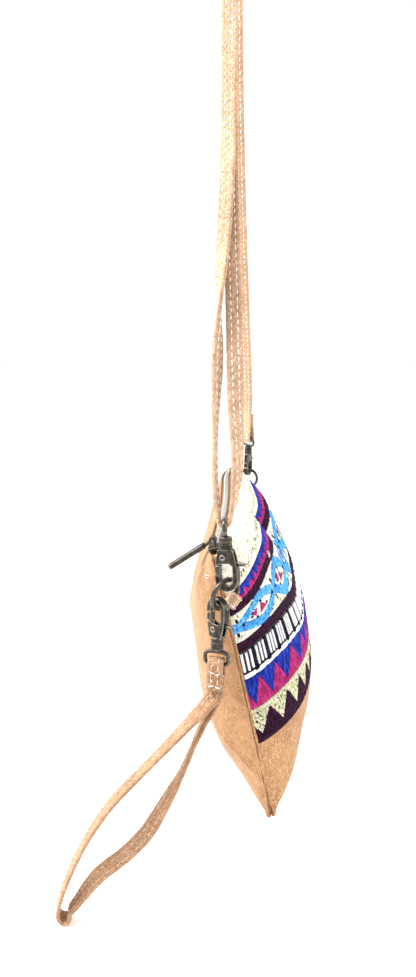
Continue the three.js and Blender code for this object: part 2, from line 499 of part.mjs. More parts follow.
function shoulderStations() {
  const far = eyeBar(claspFar), near = eyeBar(claspNear);
  if (far.along.dot(flat(-130)) < 0) far.along.negate();
  if (near.along.dot(flat(0)) < 0) near.along.negate();
  const farSide = far.pull.clone().cross(far.along);
  if (farSide.y > 0) farSide.negate();
  const nearSide = near.pull.clone().cross(near.along);
  if (nearSide.y > 0) nearSide.negate();
  const from = (eye, side, across, up) => ({ p: eye.bar.clone().addScaledVector(side, across).addScaledVector(eye.pull, up), w: eye.along.clone() });
  const half = STRAP.ply / 2, R = STRAP.bend + STRAP.thick / 2;
  const lean = Math.atan(LINE.slope) * 180 / Math.PI;
  const bend = Array.from({ length: 11 }, (_, i) => {
    const a = rad(lean + (180 - 2 * lean) * i / 10);
    return { p: V(R * Math.cos(a), HANG.y, HANG.z - STRAP.bend + R * Math.sin(a)), w: flat(-90) };
  });
  return [
    from(far, farSide, half, 23), from(far, farSide, half, 14), from(far, farSide, STRAP.eyeBend, 4),
    ...halfTurn(far, farSide, STRAP.eyeBend, 0, 180, 8),
    from(far, farSide, -STRAP.eyeBend, 4), from(far, farSide, -half, 14), from(far, farSide, -half, 23),
    ...strand(FAR_ROWS.map((r) => ({ ...r, x: lineX(r.z) })), 2),
    ...bend,
    ...strand(MID_ROWS.map((r) => ({ ...r, x: -lineX(r.z) })), 2),
    ...halfTurn(near, nearSide, STRAP.eyeBend, 0, 180, 8),
    ...strand(RETURN_ROWS.map((r) => ({ ...r, x: -lineX(r.z) + r.off })), 2),
  ];
}

// Wrist strap: a folded end, round the eye, down one strand, round the far end
// of the loop and back up the other strand, which is tucked into the fold.
const WRIST_DOWN = [
  { x: -148.4, y: 9.4,  z: -83,    turn: 50 }, { x: -150.4, y: 13.8, z: -93,    turn: 16 },
  { x: -152.5, y: 19.4, z: -106,   turn: 6 },  { x: -155.0, y: 25.8, z: -122,   turn: 10 },
  { x: -158.0, y: 36.5, z: -142.7, turn: 45 }, { x: -160.0, y: 45.8, z: -158.6, turn: 72 },
  { x: -161.5, y: 59.0, z: -173.2, turn: 82 }, { x: -163.0, y: 72.2, z: -184.6, turn: 70 },
  { x: -164.0, y: 82.4, z: -198.0, turn: 38 }, { x: -165.0, y: 90.2, z: -209.5, turn: 13 },
];
const WRIST_END = { x: -165, y: 93.4, z: -211.2, radius: 3.2, turn: 12 };
const WRIST_UP = [
  { x: -165.0, y: 96.4, z: -206,   turn: 13 }, { x: -165.0, y: 93.6, z: -196,   turn: 15 },
  { x: -164.5, y: 87.0, z: -178.8, turn: 15 }, { x: -163.5, y: 78.0, z: -160.2, turn: 15 },
  { x: -162.0, y: 65.0, z: -139.9, turn: 16 }, { x: -160.5, y: 53.0, z: -125.8, turn: 16 },
  { x: -158.5, y: 36.5, z: -107.6, turn: 16 }, { x: -156.4, y: 22.5, z: -92.0,  turn: 28 },
  { x: -153.4, y: 13.6, z: -82.6,  turn: 50 },
];
const WRIST_FOLD = 13.5;              // length of the sewn fold at the clasp
function wristStations() {
  const eye = eyeBar(claspWrist);
  const side = eye.pull.clone().cross(eye.along);
  if (side.x > 0) side.negate();      // toward the near side
  const at = (across, down) => ({ p: eye.bar.clone().addScaledVector(side, across).addScaledVector(eye.pull, down), w: eye.along.clone() });
  const r = STRAP.eyeBend, e = WRIST_END;
  const tip = [200, 232, 265, 298, 330].map((a) => ({ p: V(e.x, e.y - e.radius * Math.cos(rad(a - 180)) , e.z - e.radius * Math.sin(rad(a - 180))), w: flat(e.turn) }));
  return [
    at(r, WRIST_FOLD), at(r, WRIST_FOLD / 2), ...halfTurn(eye, side, r, 0, 180, 8), at(-r, WRIST_FOLD / 2), at(-r, WRIST_FOLD + 2.5),
    ...strand(WRIST_DOWN, 2), ...tip, ...strand(WRIST_UP, 2),
    at(0, WRIST_FOLD + 2.5), at(0, STRAP.thick / 2 + 4.2),
  ];
}

const root = new THREE.Group();
root.name = "clutch";
root.position.set(0, -HANG.y, -HANG.z);
root.add(pouch, ringMesh("ring_near", RING_NEAR), ringMesh("ring_far", RING_FAR),
  tabMesh("ring_tab_near", RING_NEAR, 132, V(-134.4, 3.4, -33), 6.2),
  tabMesh("ring_tab_far", RING_FAR, 180, V(134.4, 3.0, -31), 8.5),
  claspNear, claspFar, claspWrist,
  mesh("shoulder_strap", ribbon(shoulderStations(), STRAP.width, STRAP.thick), "suede"),
  mesh("wrist_strap", ribbon(wristStations(), STRAP.width, STRAP.thick), "suede"));

export default root;
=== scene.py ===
import math
import bpy
import numpy as np
from mathutils import Matrix, Vector


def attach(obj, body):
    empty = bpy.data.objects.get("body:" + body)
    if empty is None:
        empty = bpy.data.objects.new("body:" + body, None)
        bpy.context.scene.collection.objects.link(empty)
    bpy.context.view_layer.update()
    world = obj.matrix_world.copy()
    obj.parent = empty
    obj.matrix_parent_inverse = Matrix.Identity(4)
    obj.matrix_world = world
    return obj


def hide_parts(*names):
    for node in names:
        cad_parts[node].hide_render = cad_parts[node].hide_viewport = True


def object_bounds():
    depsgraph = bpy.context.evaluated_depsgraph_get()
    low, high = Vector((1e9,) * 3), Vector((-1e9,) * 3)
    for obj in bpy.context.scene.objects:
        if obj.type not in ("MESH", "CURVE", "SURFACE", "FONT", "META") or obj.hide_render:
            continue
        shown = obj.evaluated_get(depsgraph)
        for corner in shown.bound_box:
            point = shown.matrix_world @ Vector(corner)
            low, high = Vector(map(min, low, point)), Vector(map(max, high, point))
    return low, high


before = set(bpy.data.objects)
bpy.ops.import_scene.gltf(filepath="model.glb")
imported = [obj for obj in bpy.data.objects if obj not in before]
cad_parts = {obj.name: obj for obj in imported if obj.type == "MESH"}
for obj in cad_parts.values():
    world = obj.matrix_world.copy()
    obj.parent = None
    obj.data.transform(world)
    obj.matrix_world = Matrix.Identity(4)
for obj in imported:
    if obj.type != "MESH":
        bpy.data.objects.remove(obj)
cad_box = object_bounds()
MM = 0.001
rng = np.random.default_rng(11)


# ------------------------------------------------------------------ meshes
def unit(v):
    return v / np.maximum(np.linalg.norm(v, axis=-1, keepdims=True), 1e-12)


def signed_volume(v, faces):
    total = 0.0
    for f in faces:
        a, b, c = v[f[:, 0]], v[f[:, 1]], v[f[:, 2]]
        total += np.einsum("ij,ij->i", a, np.cross(b, c)).sum()
        if f.shape[1] == 4:
            a, b, c = v[f[:, 0]], v[f[:, 2]], v[f[:, 3]]
            total += np.einsum("ij,ij->i", a, np.cross(b, c)).sum()
    return total


def piece(name, verts, faces, material, body="bag", smooth=True, uv=None, turn=True):
    """A mesh piece from millimetre points in the row frame and lists of faces."""
    v = np.asarray(verts, np.float64).reshape(-1, 3)
    faces = [np.asarray(f, np.int64) for f in faces if len(f)]
    if turn and signed_volume(v - v.mean(0), faces) < 0:
        faces = [f[:, ::-1] for f in faces]
    me = bpy.data.meshes.new(name)
    me.vertices.add(len(v))
    me.vertices.foreach_set("co", (v * MM).astype(np.float32).ravel())
    loops = np.concatenate([f.ravel() for f in faces]).astype(np.int32)
    sizes = np.concatenate([np.full(len(f), f.shape[1]) for f in faces])
    starts = np.concatenate([[0], np.cumsum(sizes)[:-1]]).astype(np.int32)
    me.loops.add(len(loops))
    me.loops.foreach_set("vertex_index", loops)
    me.polygons.add(len(sizes))
    me.polygons.foreach_set("loop_start", starts)
    me.update(calc_edges=True)
    if uv is not None:
        layer = me.uv_layers.new(name="thread")
        layer.data.foreach_set("uv", np.asarray(uv, np.float32)[loops].ravel())
    me.polygons.foreach_set("use_smooth", np.full(len(sizes), bool(smooth)))
    me.validate()
    me.materials.append(material)
    o = bpy.data.objects.new(name, me)
    bpy.context.scene.collection.objects.link(o)
    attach(o, body)
    return o


def grid_faces(rows, cols, first=0, closed=False):
    i, j = np.meshgrid(np.arange(rows - 1), np.arange(cols if closed else cols - 1), indexing="ij")
    k = (j + 1) % cols
    return (first + np.stack([i * cols + j, (i + 1) * cols + j, (i + 1) * cols + k, i * cols + k], -1)).reshape(-1, 4)


def wall(outer, inner):
    """Closed wall between two grids of points."""
    r, c = outer.shape[:2]
    n = r * c
    at = lambda k, i, j: k * n + i * c + j
    f = [grid_faces(r, c), grid_faces(r, c, n)[:, ::-1]]
    j = np.arange(c - 1)
    f.append(np.stack([at(0, 0, j), at(0, 0, j + 1), at(1, 0, j + 1), at(1, 0, j)], -1))
    f.append(np.stack([at(0, r - 1, j), at(1, r - 1, j), at(1, r - 1, j + 1), at(0, r - 1, j + 1)], -1))
    i = np.arange(r - 1)
    f.append(np.stack([at(0, i, 0), at(1, i, 0), at(1, i + 1, 0), at(0, i + 1, 0)], -1))
    f.append(np.stack([at(0, i, c - 1), at(0, i + 1, c - 1), at(1, i + 1, c - 1), at(1, i, c - 1)], -1))
    return np.concatenate([outer.reshape(-1, 3), inner.reshape(-1, 3)]), f


def tube(rings):
    """Closed tubes: rings has shape (tubes, stations, points, 3)."""
    t, s, k = rings.shape[:3]
    one = grid_faces(s, k, closed=True)
    step = np.arange(t)[:, None, None] * (s * k)
    faces = [(one[None] + step).reshape(-1, 4)]
    for ring, flip in ((0, False), (s - 1, True)):
        base = ring * k + np.arange(k)
        if k == 4:
            cap = base[None]
        else:
            cap = np.stack([np.full(k - 2, base[0]), base[1:-1], base[2:]], -1)
        cap = cap if flip else cap[:, ::-1]
        faces.append((cap[None] + step).reshape(-1, cap.shape[1]))
    return rings.reshape(-1, 3), faces


# ------------------------------------------------------------------ materials
class Nodes:
    """Short hand for a material's node tree; its noise textures read object space unless given another vector."""

    def __init__(self, name):
        self.mat = bpy.data.materials.new(name)
        self.mat.use_nodes = True
        self.t = self.mat.node_tree
        self.shader = self.t.nodes["Principled BSDF"]
        self.coords = self.t.nodes.new("ShaderNodeTexCoord")

    def new(self, kind, **values):
        n = self.t.nodes.new(kind)
        for k, v in values.items():
            if hasattr(n, k):
                setattr(n, k, v)
            else:
                n.inputs[k.replace("_", " ")].default_value = v
        return n

    def link(self, a, b):
        self.t.links.new(a, b)

    def noise(self, scale, detail=2.0, rough=0.5, distortion=0.0, stretch=None, vector=None):
        n = self.new("ShaderNodeTexNoise", Scale=scale, Detail=detail, Roughness=rough, Distortion=distortion)
        src = vector or self.coords.outputs["Object"]
        if stretch:
            m = self.new("ShaderNodeMapping")
            m.inputs["Scale"].default_value = stretch
            self.link(src, m.inputs["Vector"])
            src = m.outputs["Vector"]
        self.link(src, n.inputs["Vector"])
        return n.outputs["Fac"]

    def ramp(self, fac, *stops):
        r = self.new("ShaderNodeValToRGB")
        e = r.color_ramp.elements
        while len(e) < len(stops):
            e.new(0.5)
        for k, (pos, col) in enumerate(stops):
            e[k].position = pos
            e[k].color = (*col, 1) if len(col) == 3 else col
        self.link(fac, r.inputs["Fac"])
        return r.outputs["Color"]

    def mix(self, fac, a, b, mode="MIX"):
        m = self.new("ShaderNodeMix", data_type="RGBA", blend_type=mode)
        for value, key in ((fac, 0), (a, 6), (b, 7)):
            if isinstance(value, (int, float)):
                m.inputs[key].default_value = value
            elif isinstance(value, tuple):
                m.inputs[key].default_value = (*value, 1)
            else:
                self.link(value, m.inputs[key])
        return m.outputs[2]

    def math(self, op, a, b=None, clamp=False):
        m = self.new("ShaderNodeMath", operation=op, use_clamp=clamp)
        for key, value in ((0, a), (1, b)):
            if value is None:
                continue
            if isinstance(value, (int, float)):
                m.inputs[key].default_value = value
            else:
                self.link(value, m.inputs[key])
        return m.outputs[0]

    def range(self, v, lo, hi, to_lo, to_hi):
        m = self.new("ShaderNodeMapRange")
        for key, value in zip((1, 2, 3, 4), (lo, hi, to_lo, to_hi)):
            m.inputs[key].default_value = value
        self.link(v, m.inputs[0])
        return m.outputs[0]

    def bump(self, height, distance, strength=1.0, normal=None):
        b = self.new("ShaderNodeBump", Strength=strength, Distance=distance)
        self.link(height, b.inputs["Height"])
        if normal is not None:
            self.link(normal, b.inputs["Normal"])
        return b.outputs["Normal"]

    def set(self, **values):
        for k, v in values.items():
            s = self.shader.inputs[k.replace("_", " ")]
            if isinstance(v, bpy.types.NodeSocket):
                self.link(v, s)
            else:
                s.default_value = v
        return self.mat


def suede(name, light, dark, flush, sheen=0.22, grit=0.75, flecks=0.55, fleck_from=0.54):
    """Brushed suede: broad nap patches, finger-wide mottling, pale and dark speckle and short fibres."""
    n = Nodes(name)
    broad = n.noise(22, 3, 0.55, 0.6)
    nap = n.noise(150, 4, 0.6, 0.8)
    grain = n.noise(760, 4, 0.75)
    fleck = n.noise(640, 3, 0.75, 0.4)
    fibre = n.noise(2400, 2, 0.7, 1.2, (1.0, 1.0, 0.45))
    tone = n.math("ADD", n.math("MULTIPLY", broad, 0.45), n.math("MULTIPLY", nap, 0.55))
    base = n.ramp(tone, (0.32, dark), (0.50, flush), (0.70, light))
    base = n.mix(grit, base, n.ramp(grain, (0.36, (0.50, 0.45, 0.40)), (0.58, (1.0, 1.0, 1.0))), "MULTIPLY")
    pale = tuple(min(1.0, c * 1.25 + 0.08) for c in light)
    base = n.mix(n.range(fleck, fleck_from, fleck_from + 0.14, 0.0, flecks), base, pale)
    height = n.math("ADD", n.math("MULTIPLY", grain, 0.6), n.math("MULTIPLY", fibre, 0.4))
    soft = n.bump(nap, 0.0011, 0.35)
    normal = n.bump(height, 0.0004, 0.6, soft)
    rough = n.range(nap, 0.3, 0.7, 0.86, 0.98)
    return n.set(Base_Color=base, Roughness=rough, Normal=normal, Sheen_Weight=sheen, Sheen_Roughness=0.35,
                 Sheen_Tint=(1.0, 0.93, 0.84, 1), Specular_IOR_Level=0.08)


def thread(name, colour, deep, pale, sheen=0.03, rough=0.72):
    """Spun thread: each strand a little different, two-ply twist along it."""
    n = Nodes(name)
    island = n.new("ShaderNodeNewGeometry").outputs["Random Per Island"]
    uv = n.new("ShaderNodeUVMap", uv_map="thread").outputs["UV"]
    m = n.new("ShaderNodeMapping")
    m.inputs["Rotation"].default_value = (0, 0, math.radians(38))
    n.link(uv, m.inputs["Vector"])
    wave = n.new("ShaderNodeTexWave", Scale=0.55, Distortion=0.6, Detail=1.0)
    n.link(m.outputs["Vector"], wave.inputs["Vector"])
    ply = wave.outputs["Fac"]
    fuzz = n.noise(1700, 3, 0.6)
    worn = n.noise(60, 3, 0.55)
    base = n.ramp(island, (0.0, deep), (0.5, colour), (1.0, pale))
    base = n.mix(0.5, base, n.ramp(ply, (0.05, (0.52, 0.52, 0.54)), (0.45, (1, 1, 1))), "MULTIPLY")
    base = n.mix(0.5, base, n.ramp(fuzz, (0.3, (0.72, 0.72, 0.74)), (0.6, (1, 1, 1))), "MULTIPLY")
    base = n.mix(n.range(worn, 0.45, 0.8, 0.0, 0.35), base, pale)
    height = n.math("ADD", n.math("MULTIPLY", ply, 0.7), n.math("MULTIPLY", fuzz, 0.3))
    return n.set(Base_Color=base, Roughness=rough, Normal=n.bump(height, 0.0002, 0.6), Sheen_Weight=sheen,
                 Sheen_Roughness=0.4, Specular_IOR_Level=0.03)


def gunmetal(name, dark, mid, edge):
    """Antique plating: mottled dark film with dark pits, brighter on the sharp edges, partly rubbed edge wear and
    partly a painted highlight.
    """
    n = Nodes(name)
    g = n.new("ShaderNodeNewGeometry")
    # brighter on sharp convex edges by pointiness: rubbed plating wear together with a painted highlight
    rubbed_edge_and_highlight = n.range(g.outputs["Pointiness"], 0.508, 0.575, 0.0, 1.0)
    pit = n.range(n.noise(420, 3, 0.6, 0.3), 0.30, 0.46, 1.0, 0.0)
    patch = n.noise(260, 4, 0.6, 0.5)
    fine = n.noise(2200, 3, 0.7)
    streak = n.noise(900, 2, 0.6, 0.0, (1.0, 1.0, 0.15))
    base = n.ramp(patch, (0.32, dark), (0.62, mid))
    base = n.mix(n.math("MULTIPLY", pit, 0.6), base, tuple(c * 0.35 for c in dark))
    # the pale edge colour laid on the sharp edges is edge wear plus painted highlight
    base = n.mix(n.math("MULTIPLY", n.range(fine, 0.45, 0.75, 0.0, 0.6), rubbed_edge_and_highlight, True), base, edge)
    base = n.mix(n.math("MULTIPLY", rubbed_edge_and_highlight, 0.6), base, edge)
    rough = n.math("ADD", n.range(patch, 0.3, 0.7, 0.26, 0.42), n.range(streak, 0.3, 0.7, 0.0, 0.12))
    height = n.math("ADD", n.math("MULTIPLY", fine, 0.5), n.math("MULTIPLY", patch, 0.5))
    return n.set(Base_Color=base, Metallic=1.0, Roughness=rough, Normal=n.bump(height, 0.00012, 0.35))


def cloth(name, a, b, scale):
    """Plain weave: warp and weft in object space, with slubs."""
    n = Nodes(name)
    warp = n.new("ShaderNodeTexWave", wave_type="BANDS", bands_direction="X", Scale=scale, Distortion=0.8, Detail=1.0)
    weft = n.new("ShaderNodeTexWave", wave_type="BANDS", bands_direction="Z", Scale=scale, Distortion=0.8, Detail=1.0)
    for w in (warp, weft):
        n.link(n.coords.outputs["Object"], w.inputs["Vector"])
    weave = n.math("MULTIPLY", warp.outputs["Fac"], weft.outputs["Fac"])
    slub = n.noise(420, 3, 0.6)
    base = n.ramp(n.math("ADD", n.math("MULTIPLY", weave, 0.6), n.math("MULTIPLY", slub, 0.5)), (0.15, a), (0.8, b))
    return n.set(Base_Color=base, Roughness=0.9, Normal=n.bump(weave, 0.0002, 0.6), Sheen_Weight=0.15, Specular_IOR_Level=0.2)


def srgb(r, g, b):
    f = lambda c: c / 12.92 if c <= 0.04045 else ((c + 0.055) / 1.055) ** 2.4
    return tuple(f(c / 255) for c in (r, g, b))


SUEDE = suede("suede_tan", srgb(186, 144, 103), srgb(149, 109, 75), srgb(167, 126, 89), grit=0.8, flecks=0.6, fleck_from=0.52)
SUEDE_BACK = suede("suede_tan_brushed", srgb(179, 140, 103), srgb(144, 107, 76), srgb(161, 122, 88), grit=0.5, flecks=0.38)
# darker copy of the strap suede: painted shade for the wrist loop, which hangs in shadow
SUEDE_WRIST_PAINTED_SHADE = suede("suede_wrist_painted_shade", srgb(184, 148, 118), srgb(142, 107, 82), srgb(164, 128, 100))
SUEDE_STRAP = suede("suede_strap", srgb(206, 174, 146), srgb(165, 130, 103), srgb(186, 152, 123))
T_CREAM = thread("thread_cream", srgb(230, 227, 208), srgb(202, 198, 166), srgb(242, 241, 232))
T_STRAW = thread("thread_straw", srgb(214, 211, 172), srgb(184, 181, 138), srgb(232, 230, 200))
T_WHITE = thread("thread_white", srgb(248, 247, 245), srgb(226, 226, 228), srgb(254, 254, 253))
T_BLUE = thread("thread_blue", srgb(30, 47, 152), srgb(17, 28, 106), srgb(46, 70, 182))
T_PINK = thread("thread_pink", srgb(168, 40, 103), srgb(128, 26, 78), srgb(194, 62, 127))
T_MAROON = thread("thread_maroon", srgb(46, 14, 38), srgb(29, 8, 24), srgb(60, 23, 52))
T_SKY = thread("thread_sky", srgb(74, 160, 226), srgb(42, 122, 200), srgb(120, 194, 242))
T_BLACK = thread("thread_black", srgb(20, 20, 34), srgb(10, 10, 18), srgb(38, 38, 54))
T_OLIVE = thread("thread_olive", srgb(128, 122, 66), srgb(50, 50, 30), srgb(186, 178, 112))
T_SEW = thread("sewing_thread", srgb(250, 247, 240), srgb(230, 222, 208), srgb(255, 253, 248))
T_SEW_TAN = thread("sewing_thread_tan", srgb(228, 200, 168), srgb(208, 178, 146), srgb(240, 216, 188))
GROUND = cloth("ground_cloth", srgb(12, 12, 20), srgb(36, 34, 46), 900)
FACING = cloth("cream_facing", srgb(206, 200, 172), srgb(242, 238, 220), 900)
TAPE = cloth("zip_tape_cloth", srgb(120, 88, 60), srgb(164, 126, 92), 1100)
# the third colour is for the sharp edges: rubbed wear plus painted highlight
GUN = gunmetal("antique_gunmetal", srgb(36, 33, 29), srgb(75, 69, 61), srgb(178, 169, 155))
TEETH = gunmetal("zip_metal", srgb(66, 62, 57), srgb(104, 99, 92), srgb(164, 158, 149))


# ------------------------------------------------------------------ camera, floor, light
EYE = Vector((-0.469, -0.0245, -0.344))
AHEAD = Vector((0.97291575, 0.0834083, -0.21558755))
RIGHT = Vector((0.08541692, -0.9963453, 0.0))
UP = Vector((0.21479964, 0.01841483, 0.97648451))
view = bpy.data.cameras.new("photo_view")
view.sensor_fit = "VERTICAL"
view.sensor_height = 36.0
view.lens = 650.0 * 36.0 / 977.0
view.clip_start = 0.01
eye = bpy.data.objects.new("photo_view", view)
eye.matrix_world = Matrix((
    (RIGHT.x, UP.x, -AHEAD.x, EYE.x), (RIGHT.y, UP.y, -AHEAD.y, EYE.y), (RIGHT.z, UP.z, -AHEAD.z, EYE.z), (0, 0, 0, 1)))
bpy.context.scene.collection.objects.link(eye)
bpy.context.scene.camera = eye

FLOOR_Z = cad_box[0][2] - 0.0004


def floor_material():
    n = Nodes("pale_floor")
    base = n.ramp(n.noise(2.0, 2, 0.5), (0.3, (0.955, 0.955, 0.96)), (0.7, (0.965, 0.965, 0.965)))
    return n.set(Base_Color=base, Roughness=0.9, Specular_IOR_Level=0.1)


fm = bpy.data.meshes.new("floor")
side = 14.0
fm.from_pydata([(-side, -side, FLOOR_Z), (side, -side, FLOOR_Z), (side, side, FLOOR_Z), (-side, side, FLOOR_Z)], [], [(0, 1, 2, 3)])
fm.materials.append(floor_material())
floor = bpy.data.objects.new("floor", fm)
bpy.context.scene.collection.objects.link(floor)

world = bpy.data.worlds.new("studio")
bpy.context.scene.world = world
world.use_nodes = True
world.node_tree.nodes["Background"].inputs["Color"].default_value = (1.0, 1.0, 1.0, 1)
world.node_tree.nodes["Background"].inputs["Strength"].default_value = 1.06


def lamp(name, place, aim, size, power, colour=(1, 1, 1)):
    d = bpy.data.lights.new(name, "AREA")
    d.shape = "DISK"
    d.size = size
    d.energy = power
    d.color = colour
    o = bpy.data.objects.new(name, d)
    o.location = place
    o.rotation_euler = (Vector(aim) - Vector(place)).to_track_quat("-Z", "Y").to_euler()
    bpy.context.scene.collection.objects.link(o)
    return o


lamp("key", (0.05, 1.3, 0.25), (0.0, 0.0, -0.5), 0.7, 20, (1.0, 0.985, 0.96))
lamp("fill", (-0.15, -1.3, 0.0), (0.0, 0.0, -0.5), 0.8, 13, (0.98, 0.99, 1.0))
lamp("floor_wash", (0.3, 0.2, 1.6), (0.1, 0.0, -0.66), 1.8, 12)
lamp("top", (-0.28, 0.55, 0.30), (-0.08, 0.02, -0.2), 0.30, 13)
bpy.context.scene.view_settings.view_transform = "Standard"


# ------------------------------------------------------------------ pouch surfaces (mm, pouch frame)
FRONT_ROWS = np.array([
    (0.000, 0, 0, 5.5, 136.0, 10, 0.80), (0.040, 6.6, 6, 13.0, 135.6, 6, 0.80), (0.090, 14.9, 16, 20.5, 135.0, 4, 0.80),
    (0.160, 26.4, 31, 27.0, 134.2, 3.2, 0.80), (0.280, 46.2, 50, 33.0, 132.8, 3, 0.80), (0.420, 69.3, 72, 37.8, 131.6, 3, 0.80),
    (0.560, 92.4, 95, 40.2, 131.0, 3, 0.80), (0.700, 115.5, 118, 39.0, 130.8, 3, 0.80), (0.820, 135.3, 136, 33.5, 130.8, 3.2, 0.80),
    (0.910, 150.2, 148.5, 25.5, 131.0, 4.1, 0.80), (0.970, 160.1, 156, 17.0, 131.4, 7, 0.78), (1.000, 164.0, 158.8, 6.0, 131.6, 9, 0.75)])
BACK_ROWS = np.array([
    (0.000, 0, 0, 5.5, 136.0, 10, 0.80), (0.040, 6.6, 6.5, 12.5, 135.6, 7, 0.75), (0.090, 14.9, 16, 19.0, 135.0, 6, 0.72),
    (0.160, 26.4, 29, 25.5, 134.2, 5, 0.70), (0.280, 46.2, 49, 32.0, 132.8, 5, 0.70), (0.420, 69.3, 72, 35.0, 131.6, 5, 0.70),
    (0.560, 92.4, 95, 36.5, 131.0, 5, 0.70), (0.700, 115.5, 117.5, 35.5, 130.8, 5, 0.70), (0.820, 135.3, 136, 31.0, 130.8, 5, 0.70),
    (0.910, 150.2, 149, 23.6, 131.0, 5.4, 0.70), (0.970, 160.1, 156.5, 14.5, 131.4, 7, 0.72), (1.000, 164.0, 158.8, 5.0, 131.6, 9, 0.75)])
FRONT_FOLDS = ((4, 26, 88, 24, 17, 8.0), (-66, 18, 20, 30, 12, -2.5), (62, 20, -20, 30, 12, -2.5))
BACK_FOLDS = ((-110, 128, 58, 30, 9, -2.0), (-98, 140, 52, 28, 10, 2.0), (-116, 80, 60, 20, 9, -1.2), (10, 22, 85, 22, 18, 4.5))
SEAM_HALF = 1.4
HEM = 0.711


def row_at(rows, share):
    s = rows[:, 0]
    i = np.clip(np.searchsorted(s, share, side="left") - 1, 0, len(s) - 2)
    h = np.diff(s)
    rise = np.diff(rows, axis=0) / h[:, None]
    p, q = rise[:-1], rise[1:]
    with np.errstate(divide="ignore", invalid="ignore"):
        e = np.where(p * q <= 0, 0, 2 * p * q / (p + q))
    d = np.vstack([rise[:1], e, rise[-1:]])
    t = ((share - s[i]) / h[i])[..., None]
    t2, t3 = t * t, t * t * t
    hh = h[i][..., None]
    d0 = np.where((i == 0)[..., None], rise[i], d[i])
    d1 = np.where((i == len(s) - 2)[..., None], rise[i], d[i + 1])
    out = (2 * t3 - 3 * t2 + 1) * rows[i] + (t3 - 2 * t2 + t) * hh * d0 + (3 * t2 - 2 * t3) * rows[i + 1] + (t3 - t2) * hh * d1
    return [out[..., k] for k in range(1, 7)]


def fold_depth(folds, across, down):
    s = 0
    for fa, fd, run, lo, wi, de in folds:
        c, n = math.cos(math.radians(run)), math.sin(math.radians(run))
        dx, dd = across - fa, down - fd
        al, si = (dx * c + dd * n) / lo, (-dx * n + dd * c) / wi
        s = s + de * np.exp(-al * al - si * si)
    return s


def crease(across, down, a0, d0, a1, d1, width, depth, ridge=0.0):
    """A pressed crease from one point to another: a narrow valley with a soft ridge beside it."""
    lx, ld = a1 - a0, d1 - d0
    length = math.hypot(lx, ld)
    lx, ld = lx / length, ld / length
    al = (across - a0) * lx + (down - d0) * ld
    si = -(across - a0) * ld + (down - d0) * lx
    run = np.clip(al / length, 0, 1)
    fade = np.exp(-np.maximum(0, np.maximum(-al, al - length)) ** 2 / (2.5 * width) ** 2) * (0.35 + 0.65 * np.sin(math.pi * np.clip(run, 0.06, 0.94)))
    bend = si - 0.05 * length * np.sin(math.pi * run)
    return fade * (-depth * np.exp(-np.abs(bend) / width) + ridge * np.exp(-((bend - 2.4 * width) / (1.6 * width)) ** 2))


def puckers(across, down, share, half, seed):
    """Short ripples running off the side seams, the zip edge and the bottom seam."""
    side = np.maximum(0, half - np.abs(across))
    s = np.where(across < 0, 0.0, 1.7) + seed
    k = np.sin(down * 0.62 + 1.3 * np.sin(down * 0.11 + s) + s) * (0.55 + 0.45 * np.sin(down * 0.171 + 2 * s))
    out = 0.42 * k * np.exp(-side / 9.0)
    a = np.sin(across * 0.55 + 1.7 * np.sin(across * 0.083 + seed)) * (0.5 + 0.5 * np.sin(across * 0.137 + seed))
    out = out + 0.34 * a * np.exp(-share * 165 / 7.0) + 0.5 * a * np.exp(-(1 - share) * 165 / 8.0)
    return out


def front_extra(across, down, share, base):
    w = 0.35 * np.sin(across * 0.071 + 0.6 * np.sin(down * 0.09)) * np.sin(down * 0.083 + 0.7)
    return w + puckers(across, down, share, 132.5, 0.4)


def back_extra(across, down, share, base):
    w = 1.0 * np.sin(across * 0.047 + 0.9 * np.sin(down * 0.06)) * np.sin(down * 0.066 + 0.4)
    w = w + 0.45 * np.sin(across * 0.11 + down * 0.06 + 1.1 * np.sin(across * 0.031)) * np.sin(down * 0.05)
    w = w + crease(across, down, 118, 40, 88, 62, 3.0, 1.3, 0.9)
    w = w + crease(across, down, -88, 16, -60, 46, 3.4, 1.3, 0.9)
    w = w + crease(across, down, 26, 116, 76, 131, 3.6, 1.2, 0.8)
    w = w + crease(across, down, -70, 132, -30, 120, 3.4, 1.0, 0.8)
    return w + puckers(across, down, share, 132.5, 2.1)


def seam_ripple(down, off, seed):
    k = np.sin(down * 0.66 + 1.4 * np.sin(down * 0.13 + seed)) * (0.6 + 0.4 * np.sin(down * 0.19 + 2 * seed))
    return 0.32 * k * np.exp(-off / 6.0)


def back_relief(across, down, off):
    """Pressed folds on the two ends of the back, by height above the side seam."""
    near = np.clip((-across - 90) / 14, 0, 1)
    far = np.clip((across - 90) / 14, 0, 1)
    w = near * crease(off, down, 24, 114, 2.2, 143, 1.5, -1.7, -1.0)
    w = w + near * crease(off, down, 13, 80, 1.6, 93, 1.3, -1.4, -0.8)
    w = w + near * crease(off, down, 19, 15, 7, 9, 1.5, 1.8, 0.7)
    w = w - near * 1.3 * np.exp(-((off - 9) / 6.0) ** 2 - ((down - 108) / 11.0) ** 2)
    w = w - near * 1.0 * np.exp(-((off - 14) / 7.0) ** 2 - ((down - 139) / 8.0) ** 2)
    w = w + far * crease(off, down, 25, 104, 3, 134, 1.6, -1.5, -0.9)
    w = w + far * crease(off, down, 14, 60, 2, 73, 1.4, -1.2, -0.7)
    return w + (near + far) * seam_ripple(down, off, 0.9)


def front_relief(across, down, off):
    end = np.clip((np.abs(across) - 90) / 14, 0, 1)
    w = end * seam_ripple(down, off, 2.3)
    w = w + 0.5 * np.sin(across * 0.09 + 0.8 * np.sin(down * 0.2)) * np.sin((down - 116) * 0.09)
    return w * np.clip((down - 117) / 8, 0, 1)


def zip_bow(u, share):
    f = np.maximum(0, 1 - share / 0.13)
    v = np.clip((u + 0.35) / 1.35, 0, 1)
    return 10.5 * v ** 1.6 * (1 - v ** 8) * f * f


